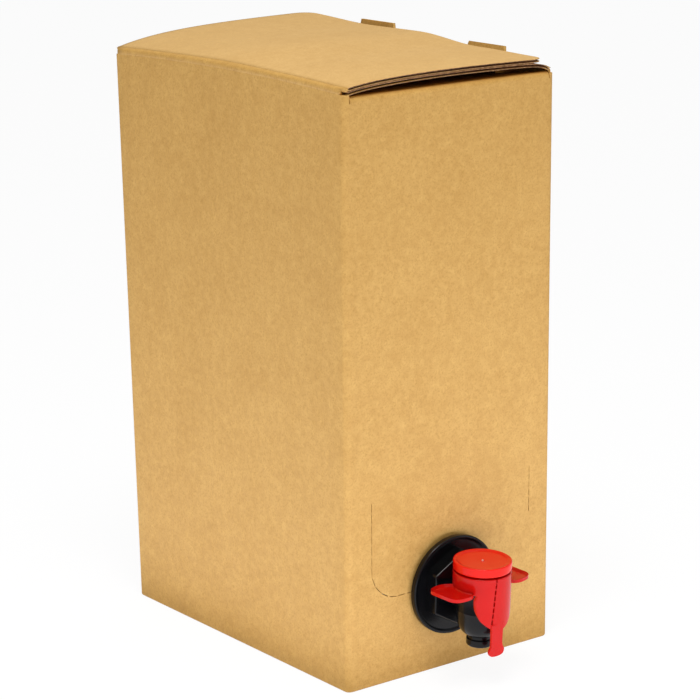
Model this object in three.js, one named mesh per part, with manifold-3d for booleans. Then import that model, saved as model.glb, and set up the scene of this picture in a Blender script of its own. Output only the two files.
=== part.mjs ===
// A five litre bag in box: a kraft carton of fluted board, folded from one blank, with a sealed
// bag inside and a push-button tap through its front panel.
// Millimetres, +Z up. The origin is the centre of the carton's bottom face, and the tap faces -Y.
// Upright forms are made with vertical front and back panels, and lean() then tips those panels out.
import * as THREE from "three";
import { mergeVertices } from "three/addons/utils/BufferGeometryUtils.js";
import Module from "manifold-3d";

const wasm = await Module();
wasm.setup();

// Carton
const width = 120.8; // outside, across the front panel
const depth = 177.1; // outside, front to back at the floor
const height = 275; // floor to the creases above the front and back panels
const leanOut = 4.4; // how far the front and the back panel lean out at those creases
const board = 1.5; // thickness of the fluted board
const cornerRadius = 3; // outside radius of the folded upright corners
const creaseRadius = 2.4; // outside radius of the folds above the panels
const foldRoot = 2; // flat strip of each panel that is made with its fold
const floorRounding = 1; // of the folds around the bottom
const lap = 0.6; // how far forms of one sheet reach into each other
const plyGap = 0.3; // air between boards that lie on each other
const dustFlap = 62; // length of the front and back flaps under the lid
const dustDroop = 6; // degrees that these flaps hang below level
const dustShoulder = 4; // full width beside their crease, before their sides run in
const dustTaper = 8; // length over which their sides run in
const bottomPlies = 3; // dust flap, inner flap and outer flap, glued
const seamWidth = 1.2; // open joint along the free edge of the outer bottom flap
const seamInset = 3; // from the right panel to that joint
const flutePocket = 0.9; // how far the flutes lie back from a cut edge
const liner = 0.3; // thickness of the board's facing papers

// Lid, and the inner flap below it
const crown = 2.3; // rise of the lid's crease at its middle
const riseAtFront = 2.5; // how far the lid's free edge springs up at each place
const riseAtFrontLock = 3.3;
const riseAtMiddle = 6.4;
const riseAtRearLock = 6;
const riseAtBack = 8;
const bendAtFront = 8; // how tightly the lid bends beside its crease
const bendAtBack = 4;
const lidClearance = 2.2; // from the lid's free edge to the standing lock strips
const lidCorner = 6; // plan radius of the lid's two free corners
const lidInset = 0.4; // the lid's cut edges stop short of the front and back panels
const innerReach = 4; // length over which the inner flap rises from its crease to the lid
const innerEdgeGap = 1; // from the inner flap's free edge to the left panel
const lockWidth = 30.5; // length of each lock slot, along Y
const frontLockHeight = 6; // how far each lock strip stands above its crease
const rearLockHeight = 9.3;
const lockSlope = 3; // the strips' ends are cut back by this much at the top
const frontLock = -43; // centre of the front lock, along Y
const rearLock = 37.5;
const frontStripLean = 14; // degrees that the lock strips lean outwards
const rearStripLean = 4;
const lockClearance = 1; // beside the tab in its slot
const tabLength = 16;
const tabLean = 6; // degrees that the tabs lean inwards
const tabCorner = 5;

// Tear line of the tap flap in the front panel
const tearHalfWidth = 47;
const tearHeight = 90; // of the upper ends of the tear line
const tearCorner = 16;
const tearSlit = 6; // length of one cut
const tearLand = 2.4; // board left between two cuts
const tearKerf = 0.5;

// Bag
const bagGap = 0.5; // to the panels
const bagHeadspace = 30.2; // from the creases down to the top of the bag
const bagCorner = 22;
const bagEdge = 14; // rounding of its top and bottom edges

// Tap
const tapHeight = 41.2; // floor to the neck's axis
const tapPlace = -1; // the tap sits this far to the left of the panel's middle
const tapLean = 3.5; // degrees that the tap's top leans forward
const fit = 0.3; // clearance between pieces that sit in or on each other
const flangeRadius = 24;
const flangeThickness = 2.2;
const flangeRim = 0.9; // height and width of the raised rim
const hexFlats = 30; // across the flats of the assembly hexagon
const hexDepth = 5.3;
const hexWall = 2; // left in front of the tail's bore
const neckRadius = 9;
const neckBore = 6.5;
const tailRadius = 12.3; // the plug that snaps into the spout
const tailBore = 9.5;
const tailLength = 10;
const chamberReach = 19.7; // flange face to the chamber's axis
const chamberRadius = 12;
const chamberBore = 10;
const chamberTop = 9.5; // above the neck's axis
const bowlStart = -5; // the bowl begins here
const bowlEnd = -17.6; // and meets the nozzle here
const nozzleRadius = 5.6;
const nozzleBore = 4.6;
const nozzleEnd = -23.1;
const nozzleBead = 0.7; // the mouth's bead stands out by this much
const seatRadius = 2.8; // hole of the valve seat
const seatTop = -14;
const seatUnder = -16;

// Spout that is welded into the bag and holds the tap
const spoutWall = 2.4;
const spoutFlange = 1.5; // thickness of its flanges
const spoutCollar = 20; // radius of the flange behind the carton's panel
const spoutWeld = 25; // radius of the flange that the bag is welded to

// Grip cap: skirt, wings, apron and tear strip
const skirtRadius = 13.6;
const skirtWall = 1.3;
const skirtTop = 13.6;
const wingTop = 7.5;
const wingFloor = 6.4;
const wingUnder = 5.4;
const wingSpan = 25.5; // axis to wing tip
const wingRoot = 9.6; // half width at the skirt
const wingTip = 8; // half width at the tip
const wingCorner = 5;
const wingRim = 1.2;
const wingTurn = 6.5; // degrees that the wings are turned about the button's axis
const apronHalf = 11.3; // half width of the apron
const apronBottom = -11.3;
const apronCorner = 6.6; // its lower corners, along X and then along Z
const apronSweep = 11.9;
const retainerInner = 10.2; // opening in the skirt's top through which the button works
const stripCentre = -1; // the tear strip lies just left of the middle
const stripWidth = 6.4;
const stripEnd = -24.2;
const stripKnob = 9; // width of its flared end
const slitLength = 2.2; // cuts of the line beside the strip
const slitPitch = 3;
const slitKerf = 0.5;
const slitShift = 2; // the line of cuts moves this much to the right on its way up

// Button, diaphragm and valve
const buttonTop = 18.1;
const buttonDish = 1.3;
const buttonRim = 1.5; // width of the raised rim
const buttonTravel = 0.8; // until the button meets the tear-off skirt
const plungerRadius = 6;
const diaphragmWall = 1;
const diaphragmRise = 1.6;
const diaphragmBead = 1.4;
const stemRadius = 1.6;
const stemHead = 5;
const sealRadius = 4.1;
const sealThickness = 2;
const stemFoot = 2.8;
const stemFootThickness = 1;

// Sizes that follow from those above
const panel = { front: -depth / 2, back: depth / 2, left: -width / 2, right: width / 2 };
const rightCrease = height + board + plyGap;
const leftCrease = height + 2 * (board + plyGap);
const lidEdge = panel.right - board - lidClearance;
const foldBottom = height - creaseRadius - foldRoot; // the folds above the panels start here
const tilt = tapLean - THREE.MathUtils.radToDeg(Math.atan(leanOut / height));
const tiltRise = Math.tan(THREE.MathUtils.degToRad(tilt));
const flangeBack = -(flangeRadius * tiltRise + fit);
const flangeFace = flangeBack - flangeThickness;
const chamberY = flangeFace - chamberReach;
const spoutBore = tailRadius + fit;
const spoutRadius = spoutBore + spoutWall;
const collarFront = board + spoutCollar * tiltRise + fit;
const weldFront = tailLength - spoutFlange;
const holeRadius = spoutRadius + 1;
const skirtInner = skirtRadius - skirtWall;
const buttonUnder = skirtTop + buttonTravel + fit;
const beadBottom = chamberTop + fit;
const retainerUnder = skirtTop - 1.3;
const domeTop = retainerUnder + 0.4;
const wide = 400; // larger than the object, for cuts that run right through

const degrees = THREE.MathUtils.degToRad;

// A manifold solid from a closed three.js geometry.
function solid(geometry) {
  const bare = geometry.index ? geometry.toNonIndexed() : geometry.clone();
  bare.deleteAttribute("normal");
  bare.deleteAttribute("uv");
  const merged = mergeVertices(bare, 1e-4);
  const vertProperties = new Float32Array(merged.attributes.position.array);
  const triVerts = new Uint32Array(merged.index.array);
  return new wasm.Manifold(new wasm.Mesh({ numProp: 3, vertProperties, triVerts }));
}

// The three.js geometry of a manifold solid.
function geometryOf(shape) {
  const mesh = shape.getMesh();
  const geometry = new THREE.BufferGeometry();
  geometry.setAttribute("position", new THREE.BufferAttribute(mesh.vertProperties, 3));
  geometry.setIndex(new THREE.BufferAttribute(mesh.triVerts, 1));
  return geometry;
}

// Moves each vertex of a geometry to where the rule puts it.
function reshape(geometry, rule) {
  const place = geometry.attributes.position;
  const point = new THREE.Vector3();
  for (let i = 0; i < place.count; i++) {
    point.fromBufferAttribute(place, i);
    rule(point);
    place.setXYZ(i, point.x, point.y, point.z);
  }
  return geometry;
}

// A box between two corners, with optional segments along each axis.
function block(low, high, segments = [1, 1, 1]) {
  const size = high.map((value, i) => value - low[i]);
  const centre = high.map((value, i) => (value + low[i]) / 2);
  return new THREE.BoxGeometry(...size, ...segments).translate(...centre);
}

// Extrudes a shape drawn in X and Z along Y, from one place to another.
function alongY(shape, from, to, curveSegments = 8) {
  const made = new THREE.ExtrudeGeometry(shape, {
    depth: to - from,
    bevelEnabled: false,
    curveSegments,
  });
  return made.rotateX(Math.PI / 2).translate(0, to, 0);
}

// Extrudes a shape drawn in Y and Z along X, from one place to another.
function alongX(shape, from, to, curveSegments = 8) {
  const made = new THREE.ExtrudeGeometry(shape, {
    depth: to - from,
    bevelEnabled: false,
    curveSegments,
  });
  const turn = new THREE.Matrix4().makeBasis(
    new THREE.Vector3(0, 1, 0),
    new THREE.Vector3(0, 0, 1),
    new THREE.Vector3(1, 0, 0),
  );
  return made.applyMatrix4(turn).translate(from, 0, 0);
}

// Extrudes a shape drawn in X and Y upwards, from one height to another.
function upwards(shape, from, to, curveSegments = 8) {
  const made = new THREE.ExtrudeGeometry(shape, {
    depth: to - from,
    bevelEnabled: false,
    curveSegments,
  });
  return made.translate(0, 0, from);
}

// A rectangle about the origin with rounded corners.
function roundedRectangle(wideX, wideY, radius) {
  const x = wideX / 2;
  const y = wideY / 2;
  const shape = new THREE.Shape();
  shape.moveTo(-x + radius, -y);
  shape.lineTo(x - radius, -y);
  shape.absarc(x - radius, -y + radius, radius, -Math.PI / 2, 0, false);
  shape.lineTo(x, y - radius);
  shape.absarc(x - radius, y - radius, radius, 0, Math.PI / 2, false);
  shape.lineTo(-x + radius, y);
  shape.absarc(-x + radius, y - radius, radius, Math.PI / 2, Math.PI, false);
  shape.lineTo(-x, -y + radius);
  shape.absarc(-x + radius, -y + radius, radius, Math.PI, Math.PI * 1.5, false);
  return shape;
}

// Turns a profile of [radius, height] points round the Z axis.
function turned(profile, segments = 40) {
  const points = profile.map(([radius, level]) => new THREE.Vector2(radius, level));
  return new THREE.LatheGeometry(points, segments).rotateX(Math.PI / 2);
}

// A ring or tube between two radii and two heights, round the Z axis.
function ring(inner, outer, low, high, segments = 40) {
  const profile = [
    [inner, low],
    [outer, low],
    [outer, high],
    [inner, high],
    [inner, low],
  ];
  return turned(profile, segments);
}

// A solid round bar between two heights, on the Z axis.
function bar(radius, low, high, segments = 40) {
  const profile = [
    [0, low],
    [radius, low],
    [radius, high],
    [0, high],
  ];
  return turned(profile, segments);
}

// Lays a form that stands on the Z axis along Y, with its upper end at the back.
const laidBack = (geometry) => geometry.rotateX(-Math.PI / 2);

// Moves a form made round the Z axis to the axis of the tap's chamber.
const atChamber = (geometry) => geometry.translate(0, chamberY, 0);

// Tips the front and back panels out by the lean, in proportion to the height.
function lean(point) {
  point.y *= 1 + (leanOut / (depth / 2)) * (point.z / height);
}

// Position of a level on the outside of the leaning front panel.
function frontFace(level) {
  const point = new THREE.Vector3(0, panel.front, level);
  lean(point);
  return point.y;
}

// How far the lid's free edge has sprung up at a place between the front (0) and the back (1).
function edgeRise(along) {
  const place = (y) => (y - panel.front) / depth;
  const knots = [
    [0, riseAtFront],
    [place(frontLock), riseAtFrontLock],
    [0.5, riseAtMiddle],
    [place(rearLock), riseAtRearLock],
    [1, riseAtBack],
  ];
  const last = knots.findIndex(([at]) => at >= along);
  const [[from, low], [to, high]] = knots.slice(Math.max(last, 1) - 1);
  const share = THREE.MathUtils.smoothstep(along, from, to);
  return THREE.MathUtils.lerp(low, high, share);
}

// Height of the lid's upper face.
function lidTop(x, y) {
  const across = THREE.MathUtils.clamp((x - panel.left) / (lidEdge - panel.left), 0, 1);
  const along = THREE.MathUtils.clamp((y - panel.front) / depth, 0, 1);
  const bend = THREE.MathUtils.lerp(bendAtFront, bendAtBack, along);
  const rise = (1 - Math.exp(-bend * across)) / (1 - Math.exp(-bend));
  const arch = crown * 4 * along * (1 - along) * (1 - across);
  return leftCrease + arch + edgeRise(along) * rise;
}

// Height of the inner flap's upper face.
function innerTop(x, y) {
  const run = Math.max(0, panel.right - creaseRadius - x);
  const share = 1 - Math.exp(-run / innerReach);
  return rightCrease + (lidTop(x, y) - board - plyGap - rightCrease) * share;
}

// Sinks the flutes into the two cut edges of a sheet, so that both facing papers stand out.
function openFlutes(sheet, fromX, toX, halfDepth, level) {
  let cut = sheet;
  for (const side of [-1, 1]) {
    const edge = side * (halfDepth - flutePocket);
    const beyond = side * (halfDepth + 1);
    const low = [fromX, Math.min(edge, beyond), -board + liner];
    const high = [toX, Math.max(edge, beyond), -liner];
    const groove = reshape(block(low, high, [20, 1, 1]), (point) => {
      point.z += level(point.x, point.y);
    });
    cut = cut.subtract(solid(groove));
  }
  return cut;
}

// The fold above a front or back panel, with its dust flap, seen from the side.
function dustProfile() {
  const droop = degrees(dustDroop);
  const middle = new THREE.Vector2(panel.front + creaseRadius, height - creaseRadius);
  const inside = creaseRadius - board;
  const end = Math.PI / 2 - droop;
  const run = new THREE.Vector2(Math.cos(droop), -Math.sin(droop)).multiplyScalar(dustFlap);
  const up = new THREE.Vector2(Math.cos(end), Math.sin(end));
  const shape = new THREE.Shape();
  shape.moveTo(panel.front, foldBottom);
  shape.absarc(middle.x, middle.y, creaseRadius, Math.PI, end, true);
  shape.lineTo(
    middle.x + up.x * creaseRadius + run.x,
    middle.y + up.y * creaseRadius + run.y,
  );
  shape.lineTo(middle.x + up.x * inside + run.x, middle.y + up.y * inside + run.y);
  shape.absarc(middle.x, middle.y, inside, end, Math.PI, false);
  shape.lineTo(panel.front + board, foldBottom);
  shape.lineTo(panel.front, foldBottom);
  return shape;
}

// Plan of a dust flap: narrower than its crease, so that the lid's tuck tabs pass beside it.
function dustPlan() {
  const half = panel.right - cornerRadius;
  const narrow = panel.right - rearLockHeight - lockClearance;
  const shoulder = panel.front + dustShoulder;
  const taper = shoulder + dustTaper;
  const end = panel.front + creaseRadius + dustFlap + 1;
  const shape = new THREE.Shape();
  shape.moveTo(-half, panel.front - 1);
  shape.lineTo(half, panel.front - 1);
  shape.lineTo(half, shoulder);
  shape.lineTo(narrow, taper);
  shape.lineTo(narrow, end);
  shape.lineTo(-narrow, end);
  shape.lineTo(-narrow, taper);
  shape.lineTo(-half, shoulder);
  return shape;
}

// The front fold with its dust flap; the back one is the same, turned round.
function dustFlaps() {
  const half = panel.right - cornerRadius;
  const sheet = solid(alongX(dustProfile(), -half, half, 6));
  const front = sheet.intersect(solid(upwards(dustPlan(), 0, wide)));
  const back = solid(geometryOf(front).rotateZ(Math.PI));
  return front.add(back);
}

// The fold above the right panel, seen from the front.
function rightFold() {
  const middle = new THREE.Vector2(panel.right - creaseRadius, rightCrease - creaseRadius);
  const shape = new THREE.Shape();
  shape.moveTo(panel.right, foldBottom);
  shape.absarc(middle.x, middle.y, creaseRadius, 0, Math.PI / 2, false);
  shape.lineTo(middle.x - 1, rightCrease);
  shape.lineTo(middle.x - 1, rightCrease - board);
  shape.lineTo(middle.x, rightCrease - board);
  shape.absarc(middle.x, middle.y, creaseRadius - board, Math.PI / 2, 0, true);
  shape.lineTo(panel.right - board, foldBottom);
  shape.lineTo(panel.right, foldBottom);
  const half = depth / 2 - cornerRadius;
  return solid(alongY(shape, -half, half, 6));
}

// The flap from the right panel, under the lid.
function innerFlap() {
  const from = panel.left + board + innerEdgeGap;
  const to = panel.right - creaseRadius;
  const half = depth / 2 - lidInset;
  const sheet = block([from, -half, -board], [to, half, 0], [20, 16, 1]);
  const bent = reshape(sheet, (point) => {
    point.z += innerTop(point.x, point.y);
  });
  return openFlutes(solid(bent), from - 1, to - 1, half, innerTop);
}

// The top of the left panel, cut to a mitre that meets the lid's.
function leftTop() {
  const half = depth / 2 - cornerRadius;
  const plate = block(
    [panel.left, -half, foldBottom],
    [panel.left + board, half, leftCrease],
    [1, 12, 1],
  );
  const mitred = reshape(plate, (point) => {
    if (point.z < leftCrease) return;
    point.z = lidTop(panel.left, point.y) - fit * Math.SQRT2 - (point.x - panel.left);
  });
  return solid(mitred);
}

// A strip of the right panel that stays upright behind a lock slot, with sloping ends.
function lockStrip(lock) {
  const half = lockWidth / 2 - plyGap;
  const low = rightCrease - creaseRadius;
  const high = rightCrease + lock.height;
  const outline = new THREE.Shape();
  outline.moveTo(lock.centre - half, low);
  outline.lineTo(lock.centre + half, low);
  outline.lineTo(lock.centre + half - lockSlope, high);
  outline.lineTo(lock.centre - half + lockSlope, high);
  const strip = alongX(outline, panel.right - board, panel.right);
  const pivot = [panel.right, 0, low];
  strip.translate(...pivot.map((value) => -value));
  strip.rotateY(degrees(lock.lean));
  strip.translate(...pivot);
  const root = block(
    [panel.right - board, lock.centre - half, foldBottom],
    [panel.right, lock.centre + half, low + lap],
  );
  return solid(strip).add(solid(root));
}

// The tear line of the tap flap: cuts with lands of board left between them.
function tearCuts() {
  const bottom = tapHeight;
  const side = tearHeight - bottom - tearCorner;
  const quarter = (Math.PI / 2) * tearCorner;
  const flat = tearHalfWidth - tearCorner - holeRadius;
  const total = side + quarter + flat;
  const cuts = [];
  for (let at = 0; at + tearSlit < total; at += tearSlit + tearLand) {
    const middle = at + tearSlit / 2;
    let x = tearHalfWidth;
    let z = tearHeight - middle;
    let turn = 0;
    if (middle > side + quarter) {
      x = tearHalfWidth - tearCorner - (middle - side - quarter);
      z = bottom;
      turn = Math.PI / 2;
    } else if (middle > side) {
      turn = (middle - side) / tearCorner;
      x = tearHalfWidth - tearCorner * (1 - Math.cos(turn));
      z = bottom + tearCorner * (1 - Math.sin(turn));
    }
    for (const hand of [-1, 1]) {
      const cut = new THREE.BoxGeometry(tearKerf, 4 * board, tearSlit);
      cut.rotateY(turn * hand);
      cuts.push(solid(cut.translate(x * hand, panel.front, z)));
    }
  }
  return wasm.Manifold.union(cuts);
}

// The joint along the free edge of the outer bottom flap.
function bottomSeam() {
  const edge = panel.right - seamInset;
  const half = depth / 2 - cornerRadius;
  return solid(block([edge - seamWidth, -half, -1], [edge, half, board]));
}

// The whole folded blank apart from its lid: panels, glued bottom, dust flaps and inner flap.
function makeCarton() {
  const outline = roundedRectangle(
    width - 2 * floorRounding,
    depth - 2 * floorRounding,
    cornerRadius - floorRounding,
  );
  const outer = new THREE.ExtrudeGeometry(outline, {
    depth: height,
    bevelThickness: floorRounding,
    bevelSize: floorRounding,
    bevelSegments: 2,
    curveSegments: 4,
  });
  const inside = roundedRectangle(width - 2 * board, depth - 2 * board, cornerRadius - board);
  const half = { x: panel.right - cornerRadius, y: depth / 2 - cornerRadius };
  const hollow = upwards(inside, bottomPlies * board, wide, 4);
  let tube = solid(outer.translate(0, 0, floorRounding)).subtract(solid(hollow));
  const top = block([-wide, -wide, height - lap], [wide, wide, wide]);
  const frontBack = block([-half.x, -wide, foldBottom + lap], [half.x, wide, wide]);
  const leftRight = block([-wide, -half.y, foldBottom + lap], [wide, half.y, wide]);
  tube = tube.subtract(solid(top)).subtract(solid(frontBack)).subtract(solid(leftRight));
  const locks = [
    { centre: frontLock, lean: frontStripLean, height: frontLockHeight },
    { centre: rearLock, lean: rearStripLean, height: rearLockHeight },
  ];
  let flaps = rightFold().add(innerFlap());
  for (const lock of locks) {
    const slot = block(
      [panel.right - lock.height, lock.centre - lockWidth / 2, 0],
      [wide, lock.centre + lockWidth / 2, wide],
    );
    flaps = flaps.subtract(solid(slot));
  }
  let made = tube.add(dustFlaps()).add(flaps).add(leftTop());
  for (const lock of locks) made = made.add(lockStrip(lock));
  const hole = laidBack(bar(holeRadius, -10, 10)).translate(tapPlace, panel.front, tapHeight);
  made = made.subtract(solid(hole)).subtract(tearCuts()).subtract(bottomSeam());
  return reshape(geometryOf(made), lean);
}

// A tuck tab that hangs from the lid's free edge into its slot.
function tuckTab(centre) {
  const half = lockWidth / 2 - lockClearance;
  const outline = new THREE.Shape();
  outline.moveTo(-half, -liner);
  outline.lineTo(-half, -tabLength + tabCorner);
  outline.absarc(-half + tabCorner, -tabLength + tabCorner, tabCorner, Math.PI, 1.5 * Math.PI);
  outline.lineTo(half - tabCorner, -tabLength);
  outline.absarc(half - tabCorner, -tabLength + tabCorner, tabCorner, 1.5 * Math.PI, 2 * Math.PI);
  outline.lineTo(half, -liner);
  const tab = alongX(outline, -board, 0, 4).rotateY(degrees(tabLean));
  return solid(tab.translate(lidEdge, centre, lidTop(lidEdge, centre)));
}

// The lid: the outer top flap, sprung up along its free edge, with its two tuck tabs.
function makeLid() {
  const half = depth / 2 - lidInset;
  const sheet = block([panel.left, -half, -board], [lidEdge, half, 0], [20, 16, 1]);
  const bent = reshape(sheet, (point) => {
    if (point.x < panel.left + 0.1) point.x -= point.z;
    point.z += lidTop(point.x, point.y);
  });
  let lid = openFlutes(solid(bent), panel.left + 2 * board, lidEdge + 1, half, lidTop);
  const spare = lidCorner * 2;
  const outline = roundedRectangle(lidEdge - panel.left + spare, 2 * half, lidCorner);
  const plan = upwards(outline, 0, wide, 4);
  lid = lid.intersect(solid(plan.translate((lidEdge + panel.left - spare) / 2, 0, 0)));
  for (const centre of [frontLock, rearLock]) lid = lid.add(tuckTab(centre));
  return reshape(geometryOf(lid), lean);
}

// The filled bag, a soft block that fills the carton, hollowed where the spout sits.
function makeBag() {
  const roomX = width - 2 * board - 2 * bagGap;
  const roomY = depth - 2 * board - 2 * bagGap;
  const outline = roundedRectangle(roomX - 2 * bagEdge, roomY - 2 * bagEdge, bagCorner - bagEdge);
  const floor = bottomPlies * board + fit;
  const bagTop = height - bagHeadspace;
  const body = new THREE.ExtrudeGeometry(outline, {
    depth: bagTop - floor - 2 * bagEdge,
    bevelThickness: bagEdge,
    bevelSize: bagEdge,
    bevelSegments: 4,
    curveSegments: 4,
  });
  const leant = reshape(body.translate(0, 0, floor + bagEdge), lean);
  const recess = laidBack(bar(spoutWeld + 1, -40, tailLength + fit));
  return geometryOf(solid(leant).subtract(solid(placeTap(recess))));
}

// Puts a form made in the tap's own frame where the tap sits, with its lean.
function placeTap(geometry) {
  return geometry.rotateX(degrees(tapLean)).translate(tapPlace, frontFace(tapHeight), tapHeight);
}

// The spout: a short tube with one flange behind the panel and one welded into the bag.
function makeSpout() {
  const tube = ring(spoutBore, spoutRadius, flangeBack + fit, tailLength);
  const collar = ring(spoutBore, spoutCollar, collarFront, collarFront + spoutFlange);
  const weld = ring(spoutBore, spoutWeld, weldFront, tailLength);
  const made = solid(laidBack(tube)).add(solid(laidBack(collar))).add(solid(laidBack(weld)));
  return geometryOf(made);
}

// Outer profile of the tap's chamber, bowl, nozzle and beaded mouth.
function chamberProfile() {
  const bowl = new THREE.QuadraticBezierCurve(
    new THREE.Vector2(chamberRadius, bowlStart),
    new THREE.Vector2(chamberRadius - 0.8, bowlEnd + 1.6),
    new THREE.Vector2(nozzleRadius + 0.3, bowlEnd),
  );
  const bead = nozzleRadius + nozzleBead;
  return [
    [0, chamberTop],
    [chamberRadius, chamberTop],
    ...bowl.getPoints(6).map((point) => [point.x, point.y]),
    [nozzleRadius, bowlEnd - 0.4],
    [nozzleRadius, bowlEnd - 1.2],
    [bead, bowlEnd - 1.8],
    [bead, nozzleEnd + 1],
    [bead - 0.4, nozzleEnd + 0.2],
    [bead - 1, nozzleEnd],
    [0, nozzleEnd],
  ].reverse();
}

// Inner profile: the chamber, its funnel, the valve seat and the nozzle's bore.
function chamberHollow() {
  return [
    [0, chamberTop + 5],
    [chamberBore, chamberTop + 5],
    [chamberBore, bowlStart],
    [chamberBore - 2.4, seatTop + 2],
    [seatRadius, seatTop],
    [seatRadius, seatUnder],
    [nozzleBore, seatUnder],
    [nozzleBore, nozzleEnd - 1],
    [0, nozzleEnd - 1],
  ].reverse();
}

// The tap's body: flange, assembly hexagon, neck, chamber and nozzle in one moulding.
function makeTapBody() {
  const flange = [
    [0, -flangeBack],
    [flangeRadius - 0.5, -flangeBack],
    [flangeRadius, -flangeBack + 0.5],
    [flangeRadius, -flangeFace + flangeRim * 0.6],
    [flangeRadius - flangeRim / 2, -flangeFace + flangeRim],
    [flangeRadius - flangeRim, -flangeFace + flangeRim * 0.6],
    [flangeRadius - flangeRim * 1.6, -flangeFace],
    [0, -flangeFace],
  ];
  const outwards = (geometry) => geometry.rotateX(Math.PI / 2);
  const hexRadius = hexFlats / Math.sqrt(3);
  const hexagon = new THREE.CylinderGeometry(hexRadius - 0.6, hexRadius, hexDepth, 6);
  const hexMiddle = flangeFace - hexDepth / 2 + 0.2;
  const neckStart = -flangeFace - 1;
  const pieces = [
    outwards(turned(flange, 64)),
    hexagon.rotateX(Math.PI).translate(0, hexMiddle, 0),
    outwards(bar(neckRadius, neckStart, -chamberY)),
    laidBack(bar(tailRadius, flangeBack - 1, tailLength)),
    atChamber(turned(chamberProfile())),
  ];
  const cuts = [
    outwards(bar(neckBore, -1, -chamberY)),
    laidBack(bar(tailBore, flangeFace - hexDepth + hexWall, tailLength + 1)),
    atChamber(turned(chamberHollow())),
  ];
  const body = wasm.Manifold.union(pieces.map(solid));
  return geometryOf(body.subtract(wasm.Manifold.union(cuts.map(solid))));
}

// Plan of both wings as one shape across the skirt.
function wingOutline(inset) {
  const tip = wingSpan - inset;
  const root = wingRoot - inset;
  const end = wingTip - inset;
  const corner = wingCorner - inset;
  const shape = new THREE.Shape();
  shape.moveTo(tip - corner, -end);
  shape.quadraticCurveTo(tip, -end, tip, -end + corner);
  shape.lineTo(tip, end - corner);
  shape.quadraticCurveTo(tip, end, tip - corner, end);
  shape.lineTo(skirtInner, root);
  shape.lineTo(-skirtInner, root);
  shape.lineTo(-tip + corner, end);
  shape.quadraticCurveTo(-tip, end, -tip, end - corner);
  shape.lineTo(-tip, -end + corner);
  shape.quadraticCurveTo(-tip, -end, -tip + corner, -end);
  shape.lineTo(-skirtInner, -root);
  shape.lineTo(skirtInner, -root);
  return shape;
}

// The apron in front of the chamber, with round lower corners, drawn in X and Z.
function apronOutline() {
  const shape = new THREE.Shape();
  const foot = apronHalf - apronCorner;
  const pull = apronHalf - 0.7;
  const level = apronBottom + apronSweep;
  shape.moveTo(-apronHalf, wingUnder + lap);
  shape.lineTo(-apronHalf, level);
  shape.quadraticCurveTo(-pull, apronBottom + 3.5, -foot, apronBottom);
  shape.lineTo(foot, apronBottom);
  shape.quadraticCurveTo(pull, apronBottom + 3.5, apronHalf, level);
  shape.lineTo(apronHalf, wingUnder + lap);
  return shape;
}

// The tear strip below the apron, with its flared end.
function stripOutline() {
  const half = stripWidth / 2;
  const knob = stripKnob / 2;
  const shape = new THREE.Shape();
  shape.moveTo(-half, apronBottom + 2);
  shape.lineTo(-half, stripEnd + 4);
  shape.lineTo(-knob, stripEnd + 2.6);
  shape.lineTo(-knob, stripEnd + 1.4);
  shape.quadraticCurveTo(0, stripEnd - 1.4, knob, stripEnd + 1.4);
  shape.lineTo(knob, stripEnd + 2.6);
  shape.lineTo(half, stripEnd + 4);
  shape.lineTo(half, apronBottom + 2);
  return shape;
}

// The grip cap: skirt, two dished wings, apron and tear strip in one moulding.
function makeGripCap() {
  const skirt = [
    [skirtInner, wingUnder],
    [skirtRadius, wingUnder],
    [skirtRadius, skirtTop - 0.4],
    [skirtRadius - 0.4, skirtTop],
    [retainerInner, skirtTop],
    [retainerInner, retainerUnder],
    [skirtInner, retainerUnder],
    [skirtInner, wingUnder],
  ];
  const turn = degrees(wingTurn);
  const wings = solid(upwards(wingOutline(0), wingUnder, wingTop, 4).rotateZ(turn));
  const tray = solid(upwards(wingOutline(wingRim), wingFloor, wide, 4).rotateZ(turn));
  const room = solid(bar(skirtInner, wingUnder - 5, wingTop + 5));
  const tube = solid(ring(skirtInner, skirtRadius, apronBottom - 1, wingUnder + 1));
  const apron = tube.intersect(solid(alongY(apronOutline(), -wide, 0)));
  const front = -skirtRadius + 0.1;
  const strip = solid(alongY(stripOutline(), front, front + skirtWall, 4).translate(stripCentre, 0, 0));
  let cap = wings.subtract(tray).subtract(room).add(solid(turned(skirt))).add(apron).add(strip);
  const neck = solid(laidBack(bar(neckRadius + fit, 0, wide)));
  cap = cap.subtract(neck);
  const foot = stripCentre - stripWidth / 2;
  for (let low = apronBottom - lap; low + slitLength < skirtTop; low += slitPitch) {
    const x = foot + (slitShift * (low - apronBottom)) / (skirtTop - apronBottom);
    const slit = block([x - slitKerf / 2, -wide, low], [x + slitKerf / 2, -5, low + slitLength]);
    cap = cap.subtract(solid(slit));
  }
  return atChamber(geometryOf(cap));
}

// The button: a dished thumb pad with a raised rim, and the plunger under it.
function makeButton() {
  const floor = buttonTop - buttonDish;
  const inner = skirtRadius - buttonRim;
  return atChamber(
    turned([
      [0, domeTop + fit],
      [plungerRadius, domeTop + fit],
      [plungerRadius, buttonUnder],
      [skirtRadius - 0.4, buttonUnder],
      [skirtRadius, buttonUnder + 0.4],
      [skirtRadius, buttonTop - 0.9],
      [skirtRadius - 0.3, buttonTop - 0.25],
      [skirtRadius - 0.9, buttonTop],
      [inner, buttonTop - 0.2],
      [inner - 0.8, floor + 0.3],
      [0.6, floor],
      [0.4, floor + 0.3],
      [0, floor + 0.3],
    ]),
  );
}

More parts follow.
